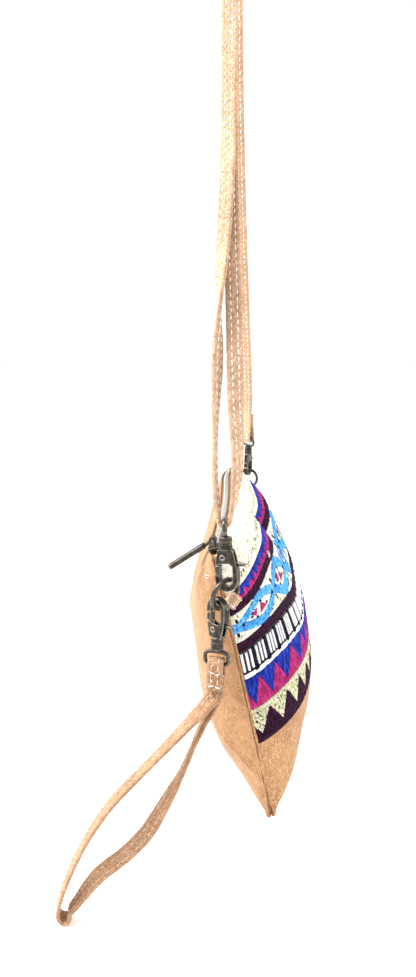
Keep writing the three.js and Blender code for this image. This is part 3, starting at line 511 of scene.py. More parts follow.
def panel_point(rows, folds, side, u, share, extra):
    u, share = np.broadcast_arrays(np.asarray(u, float), np.asarray(share, float))
    seam, mid, bulge, half, blunt, rnd = row_at(rows, share)
    g = np.maximum(0, 1 - np.abs(np.clip(u, -1, 1)) ** blunt) ** rnd
    across = half * np.clip(u, -1, 1)
    down = seam + (mid - seam) * g
    lift = np.minimum(1, g * 2) * np.minimum(1, share * 30) * np.minimum(1, (1 - share) * 20)
    seam_half = SEAM_HALF + 2.0 * np.exp(-((166 - down) / 11.0) ** 2)
    base = seam_half + np.maximum(0, bulge - seam_half) * g
    out = base - fold_depth(folds, across, down) * lift + extra(across, down, share, base) * lift
    p = np.stack([across, side * out + zip_bow(u, share), -down], -1)
    # past the seam the edge turns into the bag, so that the two panels meet in a narrow valley
    t = np.clip((np.abs(u) - 1) / 0.05, 0, 1)
    r = (seam_half - 0.08) / 2
    p[..., 0] += np.sign(u) * r * (np.sin(math.pi * t) - 1.2 * np.maximum(0, t - 0.5))
    p[..., 1] -= side * r * (1 - np.cos(math.pi * t))
    return p


LEAN = math.radians(-12.1)


def to_row(p):
    c, s = math.cos(LEAN), math.sin(LEAN)
    return np.stack([p[..., 0], 1.0 + c * p[..., 1] - s * p[..., 2], -455.6 + s * p[..., 1] + c * p[..., 2]], -1)


def turn_row(v):
    c, s = math.cos(LEAN), math.sin(LEAN)
    return np.stack([v[..., 0], c * v[..., 1] - s * v[..., 2], s * v[..., 1] + c * v[..., 2]], -1)


def grid_normals(p, side):
    du = np.gradient(p, axis=1)
    ds = np.gradient(p, axis=0)
    n = unit(np.cross(du, ds))
    flip = np.sign((n[..., 1] * side).mean())
    return n * (flip if flip else 1)


def panel(name, rows, folds, side, extra, s0, s1, nrow, ncol, outer, inner, material, replaced, roll_bottom, relief=None):
    x = np.linspace(-1, 1, ncol)
    u = np.sign(x) * (1 - (1 - np.abs(x)) ** 1.55)
    edge = np.linspace(0.0, 0.05, 7)[1:]
    u = np.concatenate([-1 - edge[::-1], u, 1 + edge])
    share = np.linspace(s0, s1, nrow)
    if s0 == 0:
        k = np.linspace(0, 1, nrow)
        share = s0 + (s1 - s0) * (0.25 * k * k + 0.75 * k)
    if roll_bottom:
        share = 1 - (1 - s0) * (1 - (share - s0) / (1 - s0)) ** 1.25
    p = panel_point(rows, folds, side, u[None, :], share[:, None], extra)
    n = grid_normals(p, side)
    if relief is not None:
        off = np.abs(p[..., 1] - zip_bow(u[None, :], share[:, None]))
        p = p + n * (relief(p[..., 0], -p[..., 2], off) * np.clip(share * 30, 0, 1)[:, None])[..., None]
        n = grid_normals(p, side)
    if roll_bottom:
        steps = []
        last = p[-1]
        turns = np.linspace(0, 1, 7)[1:]
        r = np.maximum(0, np.abs(last[:, 1]) - 0.08) / 2
        for t in turns:
            q = last.copy()
            q[:, 2] -= r * (math.sin(math.pi * t) - 1.2 * max(0, t - 0.5))
            q[:, 1] -= side * r * (1 - math.cos(math.pi * t))
            steps.append(q)
        p = np.concatenate([p, np.array(steps)])
        n = grid_normals(p, side)
        taper = np.concatenate([np.ones(len(share)), np.clip(1 - turns, 0.06, 1)])
    else:
        taper = np.ones(len(share))
    fade = np.clip((1.05 - np.abs(u)) / 0.05, 0.06, 1)
    w = taper[:, None, None] * fade[None, :, None]
    top = p + n * outer
    low = p + n * inner * w
    # rounded rims where the panel ends at the zip or at the hem
    def rim(k, step):
        out = unit(p[k] - p[k + step]) * 1.0
        mid, r = (outer + inner) / 2, (outer - inner) / 2
        rows_ = []
        for a in (30, 60, 90):
            c, s_ = math.cos(math.radians(a)), math.sin(math.radians(a))
            rows_.append(p[k] + n[k] * (mid + r * c) + out * r * 0.7 * s_)
        inner_ = []
        for a in (150, 120, 90):
            c, s_ = math.cos(math.radians(a)), math.sin(math.radians(a))
            inner_.append(p[k] + n[k] * (mid + r * c) + out * r * 0.7 * s_)
        return rows_, inner_
    a, b = rim(0, 1)
    top = np.concatenate([np.array(a[::-1]), top])
    low = np.concatenate([np.array(b[::-1]), low])
    if not roll_bottom:
        a, b = rim(len(p) - 1, -1)
        top = np.concatenate([top, np.array(a)])
        low = np.concatenate([low, np.array(b)])
    v, f = wall(to_row(top), to_row(low))
    o = piece(name, v, f, material)
    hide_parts(replaced)
    if replaced == "embroidered_panel":
        o.data.materials.append(FACING)
        r, c = top.shape[:2]
        index = np.zeros(len(o.data.polygons), np.int32)
        index[:8 * (c - 1)] = 1
        index[(r - 1) * (c - 1):2 * (r - 1) * (c - 1)] = 1
        index[2 * (r - 1) * (c - 1):2 * (r - 1) * (c - 1) + c - 1] = 1
        o.data.materials.append(SUEDE)
        col = np.arange((r - 1) * (c - 1)) % (c - 1)
        index[:(r - 1) * (c - 1)][(col < 6) | (col > c - 8)] = 2
        o.data.polygons.foreach_set("material_index", index)
    return o


front_cloth = panel("front_cloth", FRONT_ROWS, FRONT_FOLDS, -1, front_extra, 0.0, HEM, 76, 144, 0.15, -1.5, GROUND, "embroidered_panel", False)
front_suede = panel("front_suede", FRONT_ROWS, FRONT_FOLDS, -1, front_extra, HEM - 0.004, 1.0, 64, 172, -0.05, -1.6, SUEDE, "front_base", True, front_relief)
back_suede = panel("back_suede", BACK_ROWS, BACK_FOLDS, 1, back_extra, 0.0, 1.0, 132, 164, 0.0, -1.6, SUEDE_BACK, "back_panel", True, back_relief)


# the turned seam between front and back: one strip down the near side, along the bottom and up the far side
def welt():
    s = np.linspace(0.03, 1.0, 90)
    seam, mid, bulge, half, blunt, rnd = row_at(FRONT_ROWS, s)
    ub = np.linspace(-1, 1, 140)[1:-1]
    one = np.ones_like(ub)
    seam1, mid1, bulge1, half1, blunt1, rnd1 = row_at(FRONT_ROWS, one)
    g1 = np.maximum(0, 1 - np.abs(ub) ** blunt1) ** rnd1
    path = np.concatenate([
        np.stack([-half, -seam], 1), np.stack([half1 * ub, -(seam1 + (mid1 - seam1) * g1)], 1), np.stack([half, -seam], 1)[::-1]])
    mid_ = np.array([0.0, -80.0])
    rings = []
    for scale, y in ((0.999, 0.0), (0.994, 0.42), (0.955, 0.5), (0.955, -0.5), (0.994, -0.42)):
        q = mid_ + (path - mid_) * scale
        rings.append(np.stack([q[:, 0], np.full(len(q), y), q[:, 1]], 1))
    v, f = tube(to_row(np.stack(rings, 1))[None])
    return piece("seam_welt", v, f, SUEDE)


welt()


# ------------------------------------------------------------------ embroidery, in flat cloth millimetres
# q runs across from the middle, d down from the zip; the hem is at 117.3
NU, NS = 601, 301
GU, GS = np.linspace(-1, 1, NU), np.linspace(0, HEM, NS)
GP = panel_point(FRONT_ROWS, FRONT_FOLDS, -1, GU[None, :], GS[:, None], front_extra)
ARC = np.zeros((NS, NU))
ARC[1:] = np.cumsum(np.linalg.norm(np.diff(GP, axis=0), axis=-1), axis=0)
DOWN = ARC * (1 + (117.3 / ARC[-1] - 1)[None] * (ARC / ARC[-1][None]))
SIDE = np.zeros((NS, NU))
SIDE[:, 1:] = np.cumsum(np.linalg.norm(np.diff(GP, axis=1), axis=-1), axis=1)
SIDE -= SIDE[:, [NU // 2]]
SIDE *= 140.0 / SIDE[:, -1:]
DK = np.linspace(0, 117.3, 241)
QK = np.linspace(-142, 142, 569)
SHARE_OF = np.stack([np.interp(DK, DOWN[:, j], GS) for j in range(NU)], 1)
U_OF = np.stack([np.interp(QK, SIDE[i], GU) for i in range(NS)], 0)


def sample(table, y, y0, y1, x, x0, x1):
    r, c = table.shape
    fy = np.clip((y - y0) / (y1 - y0) * (r - 1), 0, r - 1.001)
    fx = np.clip((x - x0) / (x1 - x0) * (c - 1), 0, c - 1.001)
    i, j = fy.astype(int), fx.astype(int)
    a, b = fy - i, fx - j
    return (table[i, j] * (1 - a) * (1 - b) + table[i + 1, j] * a * (1 - b) + table[i, j + 1] * (1 - a) * b + table[i + 1, j + 1] * a * b)


def flat_place(q, d):
    u = np.clip(q / 138.0, -0.999, 0.999)
    share = np.zeros_like(u)
    for _ in range(5):
        share = sample(SHARE_OF, d, 0, 117.3, u, -1, 1)
        u = np.clip(sample(U_OF, share, 0, HEM, q, -142, 142), -0.9995, 0.9995)
    return u, share


def cloth_frame(q, d):
    """Point and outward normal of the front cloth at flat places, in the row frame."""
    u, share = flat_place(q, d)
    f = lambda uu, ss: panel_point(FRONT_ROWS, FRONT_FOLDS, -1, uu, ss, front_extra)
    e = 0.0015
    u0, u1 = np.clip(u - e, -1, 1), np.clip(u + e, -1, 1)
    s0, s1 = np.clip(share - e, 0, 1), np.clip(share + e, 0, 1)
    n = unit(np.cross(f(u1, share) - f(u0, share), f(u, s1) - f(u, s0)))
    n = n * np.where(n[..., 1:2] > 0.2, -1, 1)
    return to_row(f(u, share)), turn_row(n)


SAG = np.array([(0, 0), (24, 0), (30.5, .4), (36, 2), (53.3, 12.8), (59, 12.8), (72.3, 12), (76, 11.5), (95.5, 6), (112, .3), (117.3, 0)])


def sagged(q, b):
    t = np.clip((125 - np.abs(q)) / 95, 0, 1)
    f = np.clip(q / 105, 0, 1)
    rise = np.interp(b, (0, 14, 24, 40, 62), (0, 4, 8.5, 8, 0)) * f * f * (3 - 2 * f)
    return np.clip(b + np.interp(b, SAG[:, 0], SAG[:, 1]) * t * t * (3 - 2 * t) - rise, 0.05, 117.2)


LIMIT = 139.9
STATION = np.array([0.0, 0.13, 0.5, 0.87, 1.0])
RISE = np.array([0.10, 0.85, 1.0, 0.85, 0.10])
GIRTH = np.array([0.62, 0.98, 1.06, 0.98, 0.62])
SECTION = np.array([(-0.5, 0.0), (-0.30, 0.86), (0.30, 0.86), (0.5, 0.0)])


def sew(name, stitches, material):
    """All the stitches of one colour as one piece: each is a short padded strand on the cloth."""
    a = np.array(stitches, float)
    q0, b0, q1, b1, width, rise, seat = [a[:, k:k + 1] for k in range(7)]
    t = STATION[None]
    q = np.clip(q0 + (q1 - q0) * t, -LIMIT, LIMIT)
    b = b0 + (b1 - b0) * t
    p, n = cloth_frame(q, sagged(q, b))
    along = unit(np.gradient(p, axis=1))
    across = unit(np.cross(n, along))
    w = (width * GIRTH[None])[..., None]
    h = (rise * RISE[None])[..., None]
    s = (seat * np.ones_like(t))[..., None]
    rings = np.stack([p + across * w * x + n * (0.12 + s + h * y) for x, y in SECTION], 2)
    v, f = tube(rings)
    length = np.linalg.norm(p[:, -1] - p[:, 0], axis=-1)
    m, k = rings.shape[1], rings.shape[2]
    uv = np.zeros(rings.shape[:3] + (2,))
    uv[..., 0] = (length[:, None] * t)[:, :, None]
    uv[..., 1] = np.array([0.0, 0.33, 0.66, 1.0])[None, None, :] * 0.9
    return piece(name, v, f, material, uv=uv.reshape(-1, 2), turn=True)


BAG = {k: [] for k in ("cream", "straw", "blue", "pink", "maroon", "sky", "white", "black", "olive")}


def stitch(colour, q0, b0, q1, b1, width=0.95, rise=0.55, seat=0.0):
    if max(abs(q0), abs(q1)) > LIMIT + 0.5:
        return
    BAG[colour].append((q0, b0, q1, b1, width, rise, seat))


def column(colour, q, lo, hi, longest=5.2, width=0.95, rise=0.55, lean=0.0, ragged=0.25):
    """Stitches down one thread line, from lo to hi, in bricks."""
    if hi - lo < 0.7:
        return
    n = max(1, int(math.ceil((hi - lo) / longest)))
    if n == 1:
        cuts = [lo, hi]
    else:
        step = (hi - lo) / n
        shift = (rng.random() - 0.5) * 0.7 * step
        cuts = [lo] + [lo + step * k + shift + (rng.random() - 0.5) * 0.3 * step for k in range(1, n)] + [hi]
    for a, b in zip(cuts[:-1], cuts[1:]):
        j = (rng.random(4) - 0.5)
        stitch(colour, q + j[0] * 0.18, a + j[1] * ragged, q + lean * (b - a) + j[2] * 0.3, b + j[3] * ragged,
               width * (0.9 + 0.2 * rng.random()), rise * (0.85 + 0.3 * rng.random()))


def rows(colour, lo, hi, pitch=0.85, longest=6.5, width=0.95, rise=0.5):
    """Stitches along the band, in bricks."""
    n = max(1, int(round((hi - lo) / pitch)))
    for k in range(n):
        b = lo + (k + 0.5) * (hi - lo) / n
        q = -LIMIT + rng.random() * longest * 0.8
        last = -LIMIT
        while LIMIT - last > 1.3:
            e = min(q, LIMIT)
            if e - last > 1.2:
                j = (rng.random(2) - 0.5) * 0.25
                stitch(colour, last + 0.1, b + j[0], e - 0.1, b + j[1], width * (0.9 + 0.2 * rng.random()), rise * (0.85 + 0.3 * rng.random()))
                last = e
            q = last + longest * (0.7 + 0.6 * rng.random())


def peak(k):
    return abs(1 - 2 * (k - math.floor(k)))


PITCH = 0.86
COLUMNS = np.arange(-LIMIT, LIMIT + 0.01, PITCH)
K2 = np.array([(-143, -.45), (-136, 0), (-129.9, .5), (-121.6, 1), (-113.8, 1.5), (-104.7, 2), (-91, 2.5), (-80, 3), (-68, 3.5), (143, 3.5 + 211 / 9.6 * .5)])
CROSS0, CROSS = -137.5, 51.0
TRI_A = np.array([(0.4, -2.9), (7.2, 1.4), (-2.9, 2.4)])
TRI_B = np.array([(-4.6, -2.5), (-12.0, -1.1), (-7.2, 1.5)])


def span(poly, x):
    """Where a vertical line crosses a small polygon."""
    ys = []
    for (x0, y0), (x1, y1) in zip(poly, np.roll(poly, -1, axis=0)):
        if (x0 - x) * (x1 - x) < 0:
            ys.append(y0 + (y1 - y0) * (x - x0) / (x1 - x0))
    return (min(ys), max(ys)) if len(ys) == 2 else None


for q in COLUMNS:
    # cream band under the zip, with a row of dark flecks
    column("cream", q, 0.3, 23.6, 5.0, 0.98, 0.6)
    # first zigzag: blue teeth over pink
    k = (q + 118.1) / 8.6
    e = 25.5 + 4.2 * peak(k) ** 0.9
    column("blue", q, 23.6, e, 6.5, 0.95, 0.65)
    column("pink", q, e + 0.1, 31.2, 6.5, 0.95, 0.6)
    # lattice of two light-blue ribbons on white
    x = (q - CROSS0) / CROSS
    f = x - math.floor(x)
    wave = 0.6 * math.sin(math.pi * f) + 0.4 * (1 - abs(2 * f - 1))
    c_hi, c_lo = 44.7 - 6.3 * wave, 44.7 + 6.3 * wave
    hw = 2.35
    ribs = [(c_hi - hw, c_hi + hw), (c_lo - hw, c_lo + hw)]
    if ribs[0][1] > ribs[1][0]:
        ribs = [(ribs[0][0], ribs[1][1])] if wave < 0.12 else [(ribs[0][0], (ribs[0][1] + ribs[1][0]) / 2), ((ribs[0][1] + ribs[1][0]) / 2, ribs[1][1])]
    for lo, hi in ribs:
        column("sky", q, max(36.2, lo), min(53.2, hi), 4.6, 0.95, 0.75)
    holes = [(max(36.2, lo), min(53.2, hi)) for lo, hi in ribs]
    centre = CROSS0 + CROSS * (math.floor(x) + 0.5)
    for tri in (TRI_A, TRI_B):
        s = span(tri, q - centre)
        if s and s[1] - s[0] > 0.4:
            column("pink", q, 44.7 + s[0], 44.7 + s[1], 6, 0.95, 0.75)
            holes.append((44.7 + s[0], 44.7 + s[1]))
    holes.sort()
    at = 36.2
    for lo, hi in holes + [(53.3, 53.3)]:
        if lo - at > 0.8:
            column("cream", q, at, lo, 4.2, 0.92, 0.55)
        at = max(at, hi)
    # second zigzag: blue over bright pink
    k = float(np.interp(q, K2[:, 0], K2[:, 1]))
    e = 77.6 + 15.8 * peak(k)
    column("blue", q, 76.2, e, 6.0, 0.95, 0.65)
    column("pink", q, e + 0.15, 95.6, 6.0, 0.95, 0.65)
    # third zigzag: cream over maroon
    k = (q + 136.5) / 18.7
    e = 98.4 + 13.8 * peak(k)
    column("straw", q, 95.6, e, 3.2, 0.74, 0.6, lean=0.12, ragged=0.7)
    column("maroon", q, e + 0.15, 112.3, 6.0, 0.92, 0.6)

rows("maroon", 31.3, 36.1)
rows("maroon", 53.4, 59.1)
rows("maroon", 112.3, 117.1)

# the triangles' black corners, and black slits where the ribbons cross
for m in range(-1, 6):
    centre = CROSS0 + CROSS * (m + 0.5)
    for dq, db in ((7.4, 0.4), (0.6, -3.4), (-12.4, -0.2), (-7.4, 2.2)):
        for s in (-0.6, 0.2, 1.0):
            stitch("black", centre + dq + s, 44.7 + db - 0.6, centre + dq + s + 0.3, 44.7 + db + 0.9, 0.9, 0.7, 0.15)
    cross = CROSS0 + CROSS * m
    for dq, db, h in ((-5.2, 0, 1.6), (-4.4, 0, 1.0), (5.2, 0, 1.6), (4.4, 0, 1.0), (0.0, -4.2, 1.5), (0.8, -4.0, 1.2), (0.0, 4.2, 1.5), (-0.8, 4.0, 1.2)):
        stitch("black", cross + dq, 44.7 + db - h, cross + dq + 0.2, 44.7 + db + h, 0.9, 0.7, 0.2)

for m in range(-1, 6):
    cross = CROSS0 + CROSS * m
    for dq, s in ((13, -1), (15, -1), (17, -1), (37, 1), (39, 1), (41, 1), (43, 1)):
        f = dq / CROSS
        c = 44.7 + s * 6.3 * (0.6 * math.sin(math.pi * f) + 0.4 * (1 - abs(2 * f - 1)))
        for off in (2.2, -2.2):
            if rng.random() < 0.55:
                stitch("black", cross + dq, c + off - 0.7, cross + dq + 0.5, c + off + 0.7, 0.34, 0.8, 0.25)
for k in range(9):
    a = k * 0.7
    stitch("white", -70 + 2.3 * math.cos(a), 31.5 + 2.1 * math.sin(1.7 * a), -70 + 2.2 * math.cos(a + 1.9), 32 + 1.8 * math.sin(1.7 * a + 1.6), 0.3, 0.5, 0.45 + 0.06 * k)

# groups of three white cords on black, with black bars between them
centres = [-135.7, -124.2, -111.9, -99.4, -85.2, -71.0]
while centres[-1] < 140:
    centres.append(centres[-1] + 12.9)
for c in centres:
    for g in (-1, 0, 1):
        q = c + 3.25 * g
        if abs(q) > LIMIT - 0.2:
            continue
        b = 60.2 + 0.5 * rng.random()
        while b < 71.2:
            s = 1.25
            stitch("white", q - 0.72, b - 0.25, q - 0.02, b + s + 0.3, 0.6, 0.85, 0.1)
            stitch("white", q + 0.72, b - 0.25, q + 0.02, b + s + 0.3, 0.6, 0.85, 0.1)
            b += s
for a, b in zip(centres[:-1], centres[1:]):
    for q in np.arange(a + 4.9, b - 4.85, 0.8):
        column("black", q, 59.3, 72.0, 5.0, 0.9, 0.5)
    mid = (a + b) / 2
    for s in (-1.2, -0.4, 0.4, 1.2):
        stitch("black", mid + s, 71.6, mid + s, 74.2, 0.95, 0.9, 0.35)
rows("black", 72.0, 73.2, 0.6, 4.5, 0.7, 0.55)
rows("white", 73.3, 76.1, 0.9, 9.0, 1.05, 0.85)

# dark flecks in the cream bands, loose thread ends
for q in np.arange(-LIMIT + 1, LIMIT - 1, 4.1):
    b = 16.2 + 2.6 * rng.random()
    stitch("olive", q + rng.random(), b, q + rng.random() + 0.3, b + 2.0 + 1.4 * rng.random(), 0.85, 0.7, 0.2)
for _ in range(150):
    q, b = (rng.random() * 2 - 1) * (LIMIT - 1), 1.5 + 20 * rng.random()
    stitch("olive", q, b, q + 0.3 * (rng.random() - 0.5), b + 1.2 + rng.random(), 0.6, 0.55, 0.12)
for _ in range(190):
    q, b = (rng.random() * 2 - 1) * (LIMIT - 1), 37 + 15.5 * rng.random()
    x = (q - CROSS0) / CROSS
    f = x - math.floor(x)
    wave = 0.6 * math.sin(math.pi * f) + 0.4 * (1 - abs(2 * f - 1))
    if min(abs(b - 44.7 - 6.3 * wave), abs(b - 44.7 + 6.3 * wave)) > 3.0 and not (abs(b - 44.7) < 3.5 and abs(f - 0.5) < 0.28):
        stitch("olive", q, b, q + 0.3 * (rng.random() - 0.5), b + 1.2 + 1.2 * rng.random(), 0.7, 0.6, 0.15)
for _ in range(170):
    q, b = (rng.random() * 2 - 1) * (LIMIT - 1), 96.5 + 12 * rng.random()
    if b < 97.6 + 13.0 * peak((q + 136.5) / 18.7):
        stitch("black", q, b, q + 0.4 * (rng.random() - 0.5), b + 1.0 + 1.2 * rng.random(), 0.6, 0.62, 0.15)

for colour, material in (("cream", T_CREAM), ("straw", T_STRAW), ("blue", T_BLUE), ("pink", T_PINK), ("maroon", T_MAROON), ("sky", T_SKY), ("white", T_WHITE), ("black", T_BLACK), ("olive", T_OLIVE)):
    sew("embroidery_" + colour, BAG[colour], material)


# ------------------------------------------------------------------ zip
def zip_line(x):
    """Middle line of the closed zip, pouch frame."""
    u = x / 136.0
    return zip_bow(u, np.zeros_like(u))


ux = np.linspace(-0.955, 0.955, 221)
seam0, mid0, bulge0, half0, blunt0, rnd0 = row_at(FRONT_ROWS, np.zeros_like(ux))
room = SEAM_HALF + (bulge0 - SEAM_HALF) * np.maximum(0, 1 - np.abs(ux) ** blunt0) ** rnd0 - 1.5
vx = np.linspace(-1, 1, 15)
tape_y = zip_line(ux * 136)[:, None] + room[:, None] * vx[None]
ripple = 0.07 * np.sin(ux * 136 * 1.1)[:, None] * (np.abs(vx)[None] ** 2)
crown = 0.22 * (1 - np.abs(vx)[None] ** 4) + ripple
tx = np.broadcast_to((ux * 136.0)[:, None], tape_y.shape)
top = np.stack([tx, tape_y, -1.22 + crown], -1)
low = np.stack([tx, tape_y, -1.82 + crown * 0.6], -1)
v, f = wall(to_row(top), to_row(low))
tape = piece("zip_tape_woven", v, f, TAPE)
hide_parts("zip_tape")

# two rows of metal teeth that lock into each other; each has a foot on its tape and a rounded head
PITCH_T = 1.05
n_t = int((121 - -117) / PITCH_T)
cx = -116.6 + PITCH_T * np.arange(n_t)
sgn = np.where(np.arange(n_t) % 2 == 0, 1.0, -1.0)
sec = np.array([(math.cos(a), math.sin(a)) for a in np.radians(np.arange(0, 360, 45) + 22.5)])
st = np.array([(-2.0, 0.34, 0.62), (-1.85, 0.52, 0.86), (-0.55, 0.55, 0.90), (-0.1, 0.42, 0.80), (0.35, 0.56, 0.88), (0.62, 0.44, 0.70), (0.72, 0.22, 0.4)])
rings = np.zeros((n_t, len(st), len(sec), 3))
for i, (y, hx, hz) in enumerate(st):
    box = np.sign(sec) * np.abs(sec) ** 0.55
    rings[:, i, :, 0] = cx[:, None] + hx * box[None, :, 0]
    rings[:, i, :, 1] = (zip_line(cx) - sgn * y)[:, None]
    rings[:, i, :, 2] = 0.05 + hz * box[None, :, 1]
v, f = tube(to_row(rings))
# mirrored teeth turn inside out, so each tooth's faces are set by its own side
quads, caps0, caps1 = f
flip_of = lambda faces, per: np.where(np.repeat(sgn > 0, per)[:, None], faces, faces[:, ::-1])
per_q, per_c = len(quads) // n_t, len(caps0) // n_t
teeth = piece("zip_teeth_row", v, [flip_of(quads, per_q), flip_of(caps0, per_c), flip_of(caps1, per_c)], TEETH)
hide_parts("zip_teeth")


# ------------------------------------------------------------------ straps: stations (x, y, z, across x, y, z), mm
SHOULDER = np.array([
    (141.086, -11.208, -406.793, -0.637, -0.765, -0.097),
    (142.441, -11.208, -415.691, -0.637, -0.765, -0.097),
    (145.213, -12.287, -425.384, -0.637, -0.765, -0.097),
    (145.815, -12.287, -429.338, -0.637, -0.765, -0.097),
    (145.815, -12.138, -430.519, -0.637, -0.765, -0.097),
    (145.464, -11.712, -431.573, -0.637, -0.765, -0.097),
    (144.816, -11.075, -432.341, -0.637, -0.765, -0.097),
    (143.968, -10.323, -432.705, -0.637, -0.765, -0.097),
    (143.05, -9.571, -432.61, -0.637, -0.765, -0.097),
    (142.202, -8.934, -432.07, -0.637, -0.765, -0.097),
    (141.553, -8.508, -431.168, -0.637, -0.765, -0.097),
    (141.202, -8.358, -430.041, -0.637, -0.765, -0.097),
    (140.6, -8.358, -426.086, -0.637, -0.765, -0.097),
    (140.361, -9.437, -416.007, -0.637, -0.765, -0.097),
    (139.006, -9.437, -407.11, -0.637, -0.765, -0.097),
    (129.715, -9.6, -390, -0.469, -0.883, 0),
    (125.54, -9.017, -376.311, -0.358, -0.934, 0),
    (121.175, -8.4, -362, -0.242, -0.97, 0),
    (115.255, -7.53, -342.592, -0.165, -0.986, 0),
    (108.975, -6.6, -322, -0.087, -0.996, 0),
    (102.264, -5.598, -299.998, -0.061, -0.998, 0),
    (95.25, -4.6, -277, -0.035, -0.999, 0),
    (86.782, -3.508, -249.236, -0.017, -1, 0),
    (77.865, -2.5, -220, 0, -1, 0),
    (67.628, -1.549, -186.437, 0, -1, 0),
    (57.125, -0.8, -152, 0, -1, 0),
    (46.469, -0.386, -117.064, 0, -1, 0),
    (35.775, -0.1, -82, 0, -1, 0),
    (13.582, 0, -8.857, 0, -1, 0),
    (12.098, 0, -5.566, 0, -1, 0),
    (9.833, 0, -2.755, 0, -1, 0),
    (6.931, 0, -0.606, 0, -1, 0),
    (3.581, 0, 0.741, 0, -1, 0),
    (0, 0, 1.2, 0, -1, 0),
    (-3.581, 0, 0.741, 0, -1, 0),
    (-6.931, 0, -0.606, 0, -1, 0),
    (-9.833, 0, -2.755, 0, -1, 0),
    (-12.098, 0, -5.566, 0, -1, 0),
    (-13.582, 0, -8.857, 0, -1, 0),
    (-35.775, -0.3, -82, 0, -1, 0),
    (-43.96, -0.645, -108.836, 0, -1, 0),
    (-51.635, -1, -134, 0, -1, 0),
    (-56.439, -1.286, -149.752, 0, -1, 0),
    (-61.09, -1.6, -165, 0, -1, 0),
    (-67.103, -2.016, -184.714, 0, -1, 0),
    (-73.29, -2.5, -205, 0, -1, 0),
    (-79.202, -3.039, -224.385, 0.009, -1, 0),
    (-85.185, -3.7, -244, 0.017, -1, 0),
    (-91.978, -4.654, -266.272, 0.026, -1, 0),
    (-98.605, -5.7, -288, 0.035, -0.999, 0),
    (-103.634, -6.576, -304.488, 0.052, -0.999, 0),
    (-108.365, -7.4, -320, 0.07, -0.998, 0),
    (-112.536, -8.033, -333.675, 0.122, -0.993, 0),
    (-116.6, -8.6, -347, 0.174, -0.985, 0),
    (-120.639, -9.087, -360.244, 0.326, -0.946, 0),
    (-124.53, -9.6, -373, 0.469, -0.883, 0),
    (-127.63, -10.244, -383.163, 0.616, -0.788, 0),
    (-130.63, -10.8, -393, 0.743, -0.669, 0),
    (-133.777, -11.103, -403.319, 0.829, -0.559, 0),
    (-136.73, -11, -413, 0.899, -0.438, 0),
    (-138.619, -10.385, -419.193, 0.946, -0.326, 0),
    (-140.39, -9.6, -425, 0.978, -0.208, 0),
    (-142.652, -8.167, -432.642, 0.988, 0.017, -0.152),
    (-142.834, -8.017, -433.808, 0.988, 0.017, -0.152),
    (-143.001, -7.427, -434.828, 0.988, 0.017, -0.152),
    (-143.128, -6.486, -435.546, 0.988, 0.017, -0.152),
    (-143.195, -5.338, -435.853, 0.988, 0.017, -0.152),
    (-143.192, -4.158, -435.702, 0.988, 0.017, -0.152),
    (-143.121, -3.125, -435.116, 0.988, 0.017, -0.152),
    (-142.99, -2.396, -434.184, 0.988, 0.017, -0.152),
    (-142.822, -2.083, -433.048, 0.988, 0.017, -0.152),
    (-140.39, -1, -425, 0.99, -0.139, 0),
    (-138.619, -0.36, -419.193, 0.995, -0.105, 0),
    (-136.73, 0.2, -413, 0.998, -0.07, 0),
    (-133.747, 0.604, -403.324, 0.999, -0.052, 0),
    (-130.63, 0.8, -393, 0.999, -0.035, 0),
    (-127.74, 0.852, -382.868, 0.99, -0.139, 0),
    (-125.03, 0.8, -373, 0.97, -0.242, 0),
    (-122.877, 0.713, -364.786, 0.927, -0.375, 0),
    (-120.85, 0.6, -357, 0.866, -0.5, 0),
    (-119.07, 0.509, -350.549, 0.883, -0.469, 0),
    (-117.285, 0.4, -344, 0.899, -0.438, 0),
    (-115.069, 0.22, -335.301, 0.982, -0.191, 0),
    (-112.795, 0, -326, 0.998, 0.07, 0),
    (-110.242, -0.251, -314.916, 0.921, 0.391, 0),
    (-107.685, -0.6, -304, 0.743, 0.669, 0),
    (-105.646, -1.089, -296.091, 0.669, 0.743, 0),
    (-103.405, -1.6, -288, 0.588, 0.809, 0),
    (-99.591, -2.121, -275.1, 0.53, 0.848, 0),
    (-95.27, -2.5, -261, 0.469, 0.883, 0),
    (-90.266, -2.691, -244.898, 0.423, 0.906, 0),
    (-84.905, -2.7, -228, 0.375, 0.927, 0),
    (-78.32, -2.52, -207.791, 0.292, 0.956, 0),
    (-71.805, -2.2, -188, 0.208, 0.978, 0),
    (-67.089, -1.859, -173.755, 0.105, 0.995, 0),
    (-62.615, -1.5, -160, 0, 1, 0),
    (-58.019, -1.192, -145.071, 0, 1, 0),
    (-53.465, -0.9, -130, 0, 1, 0),
])
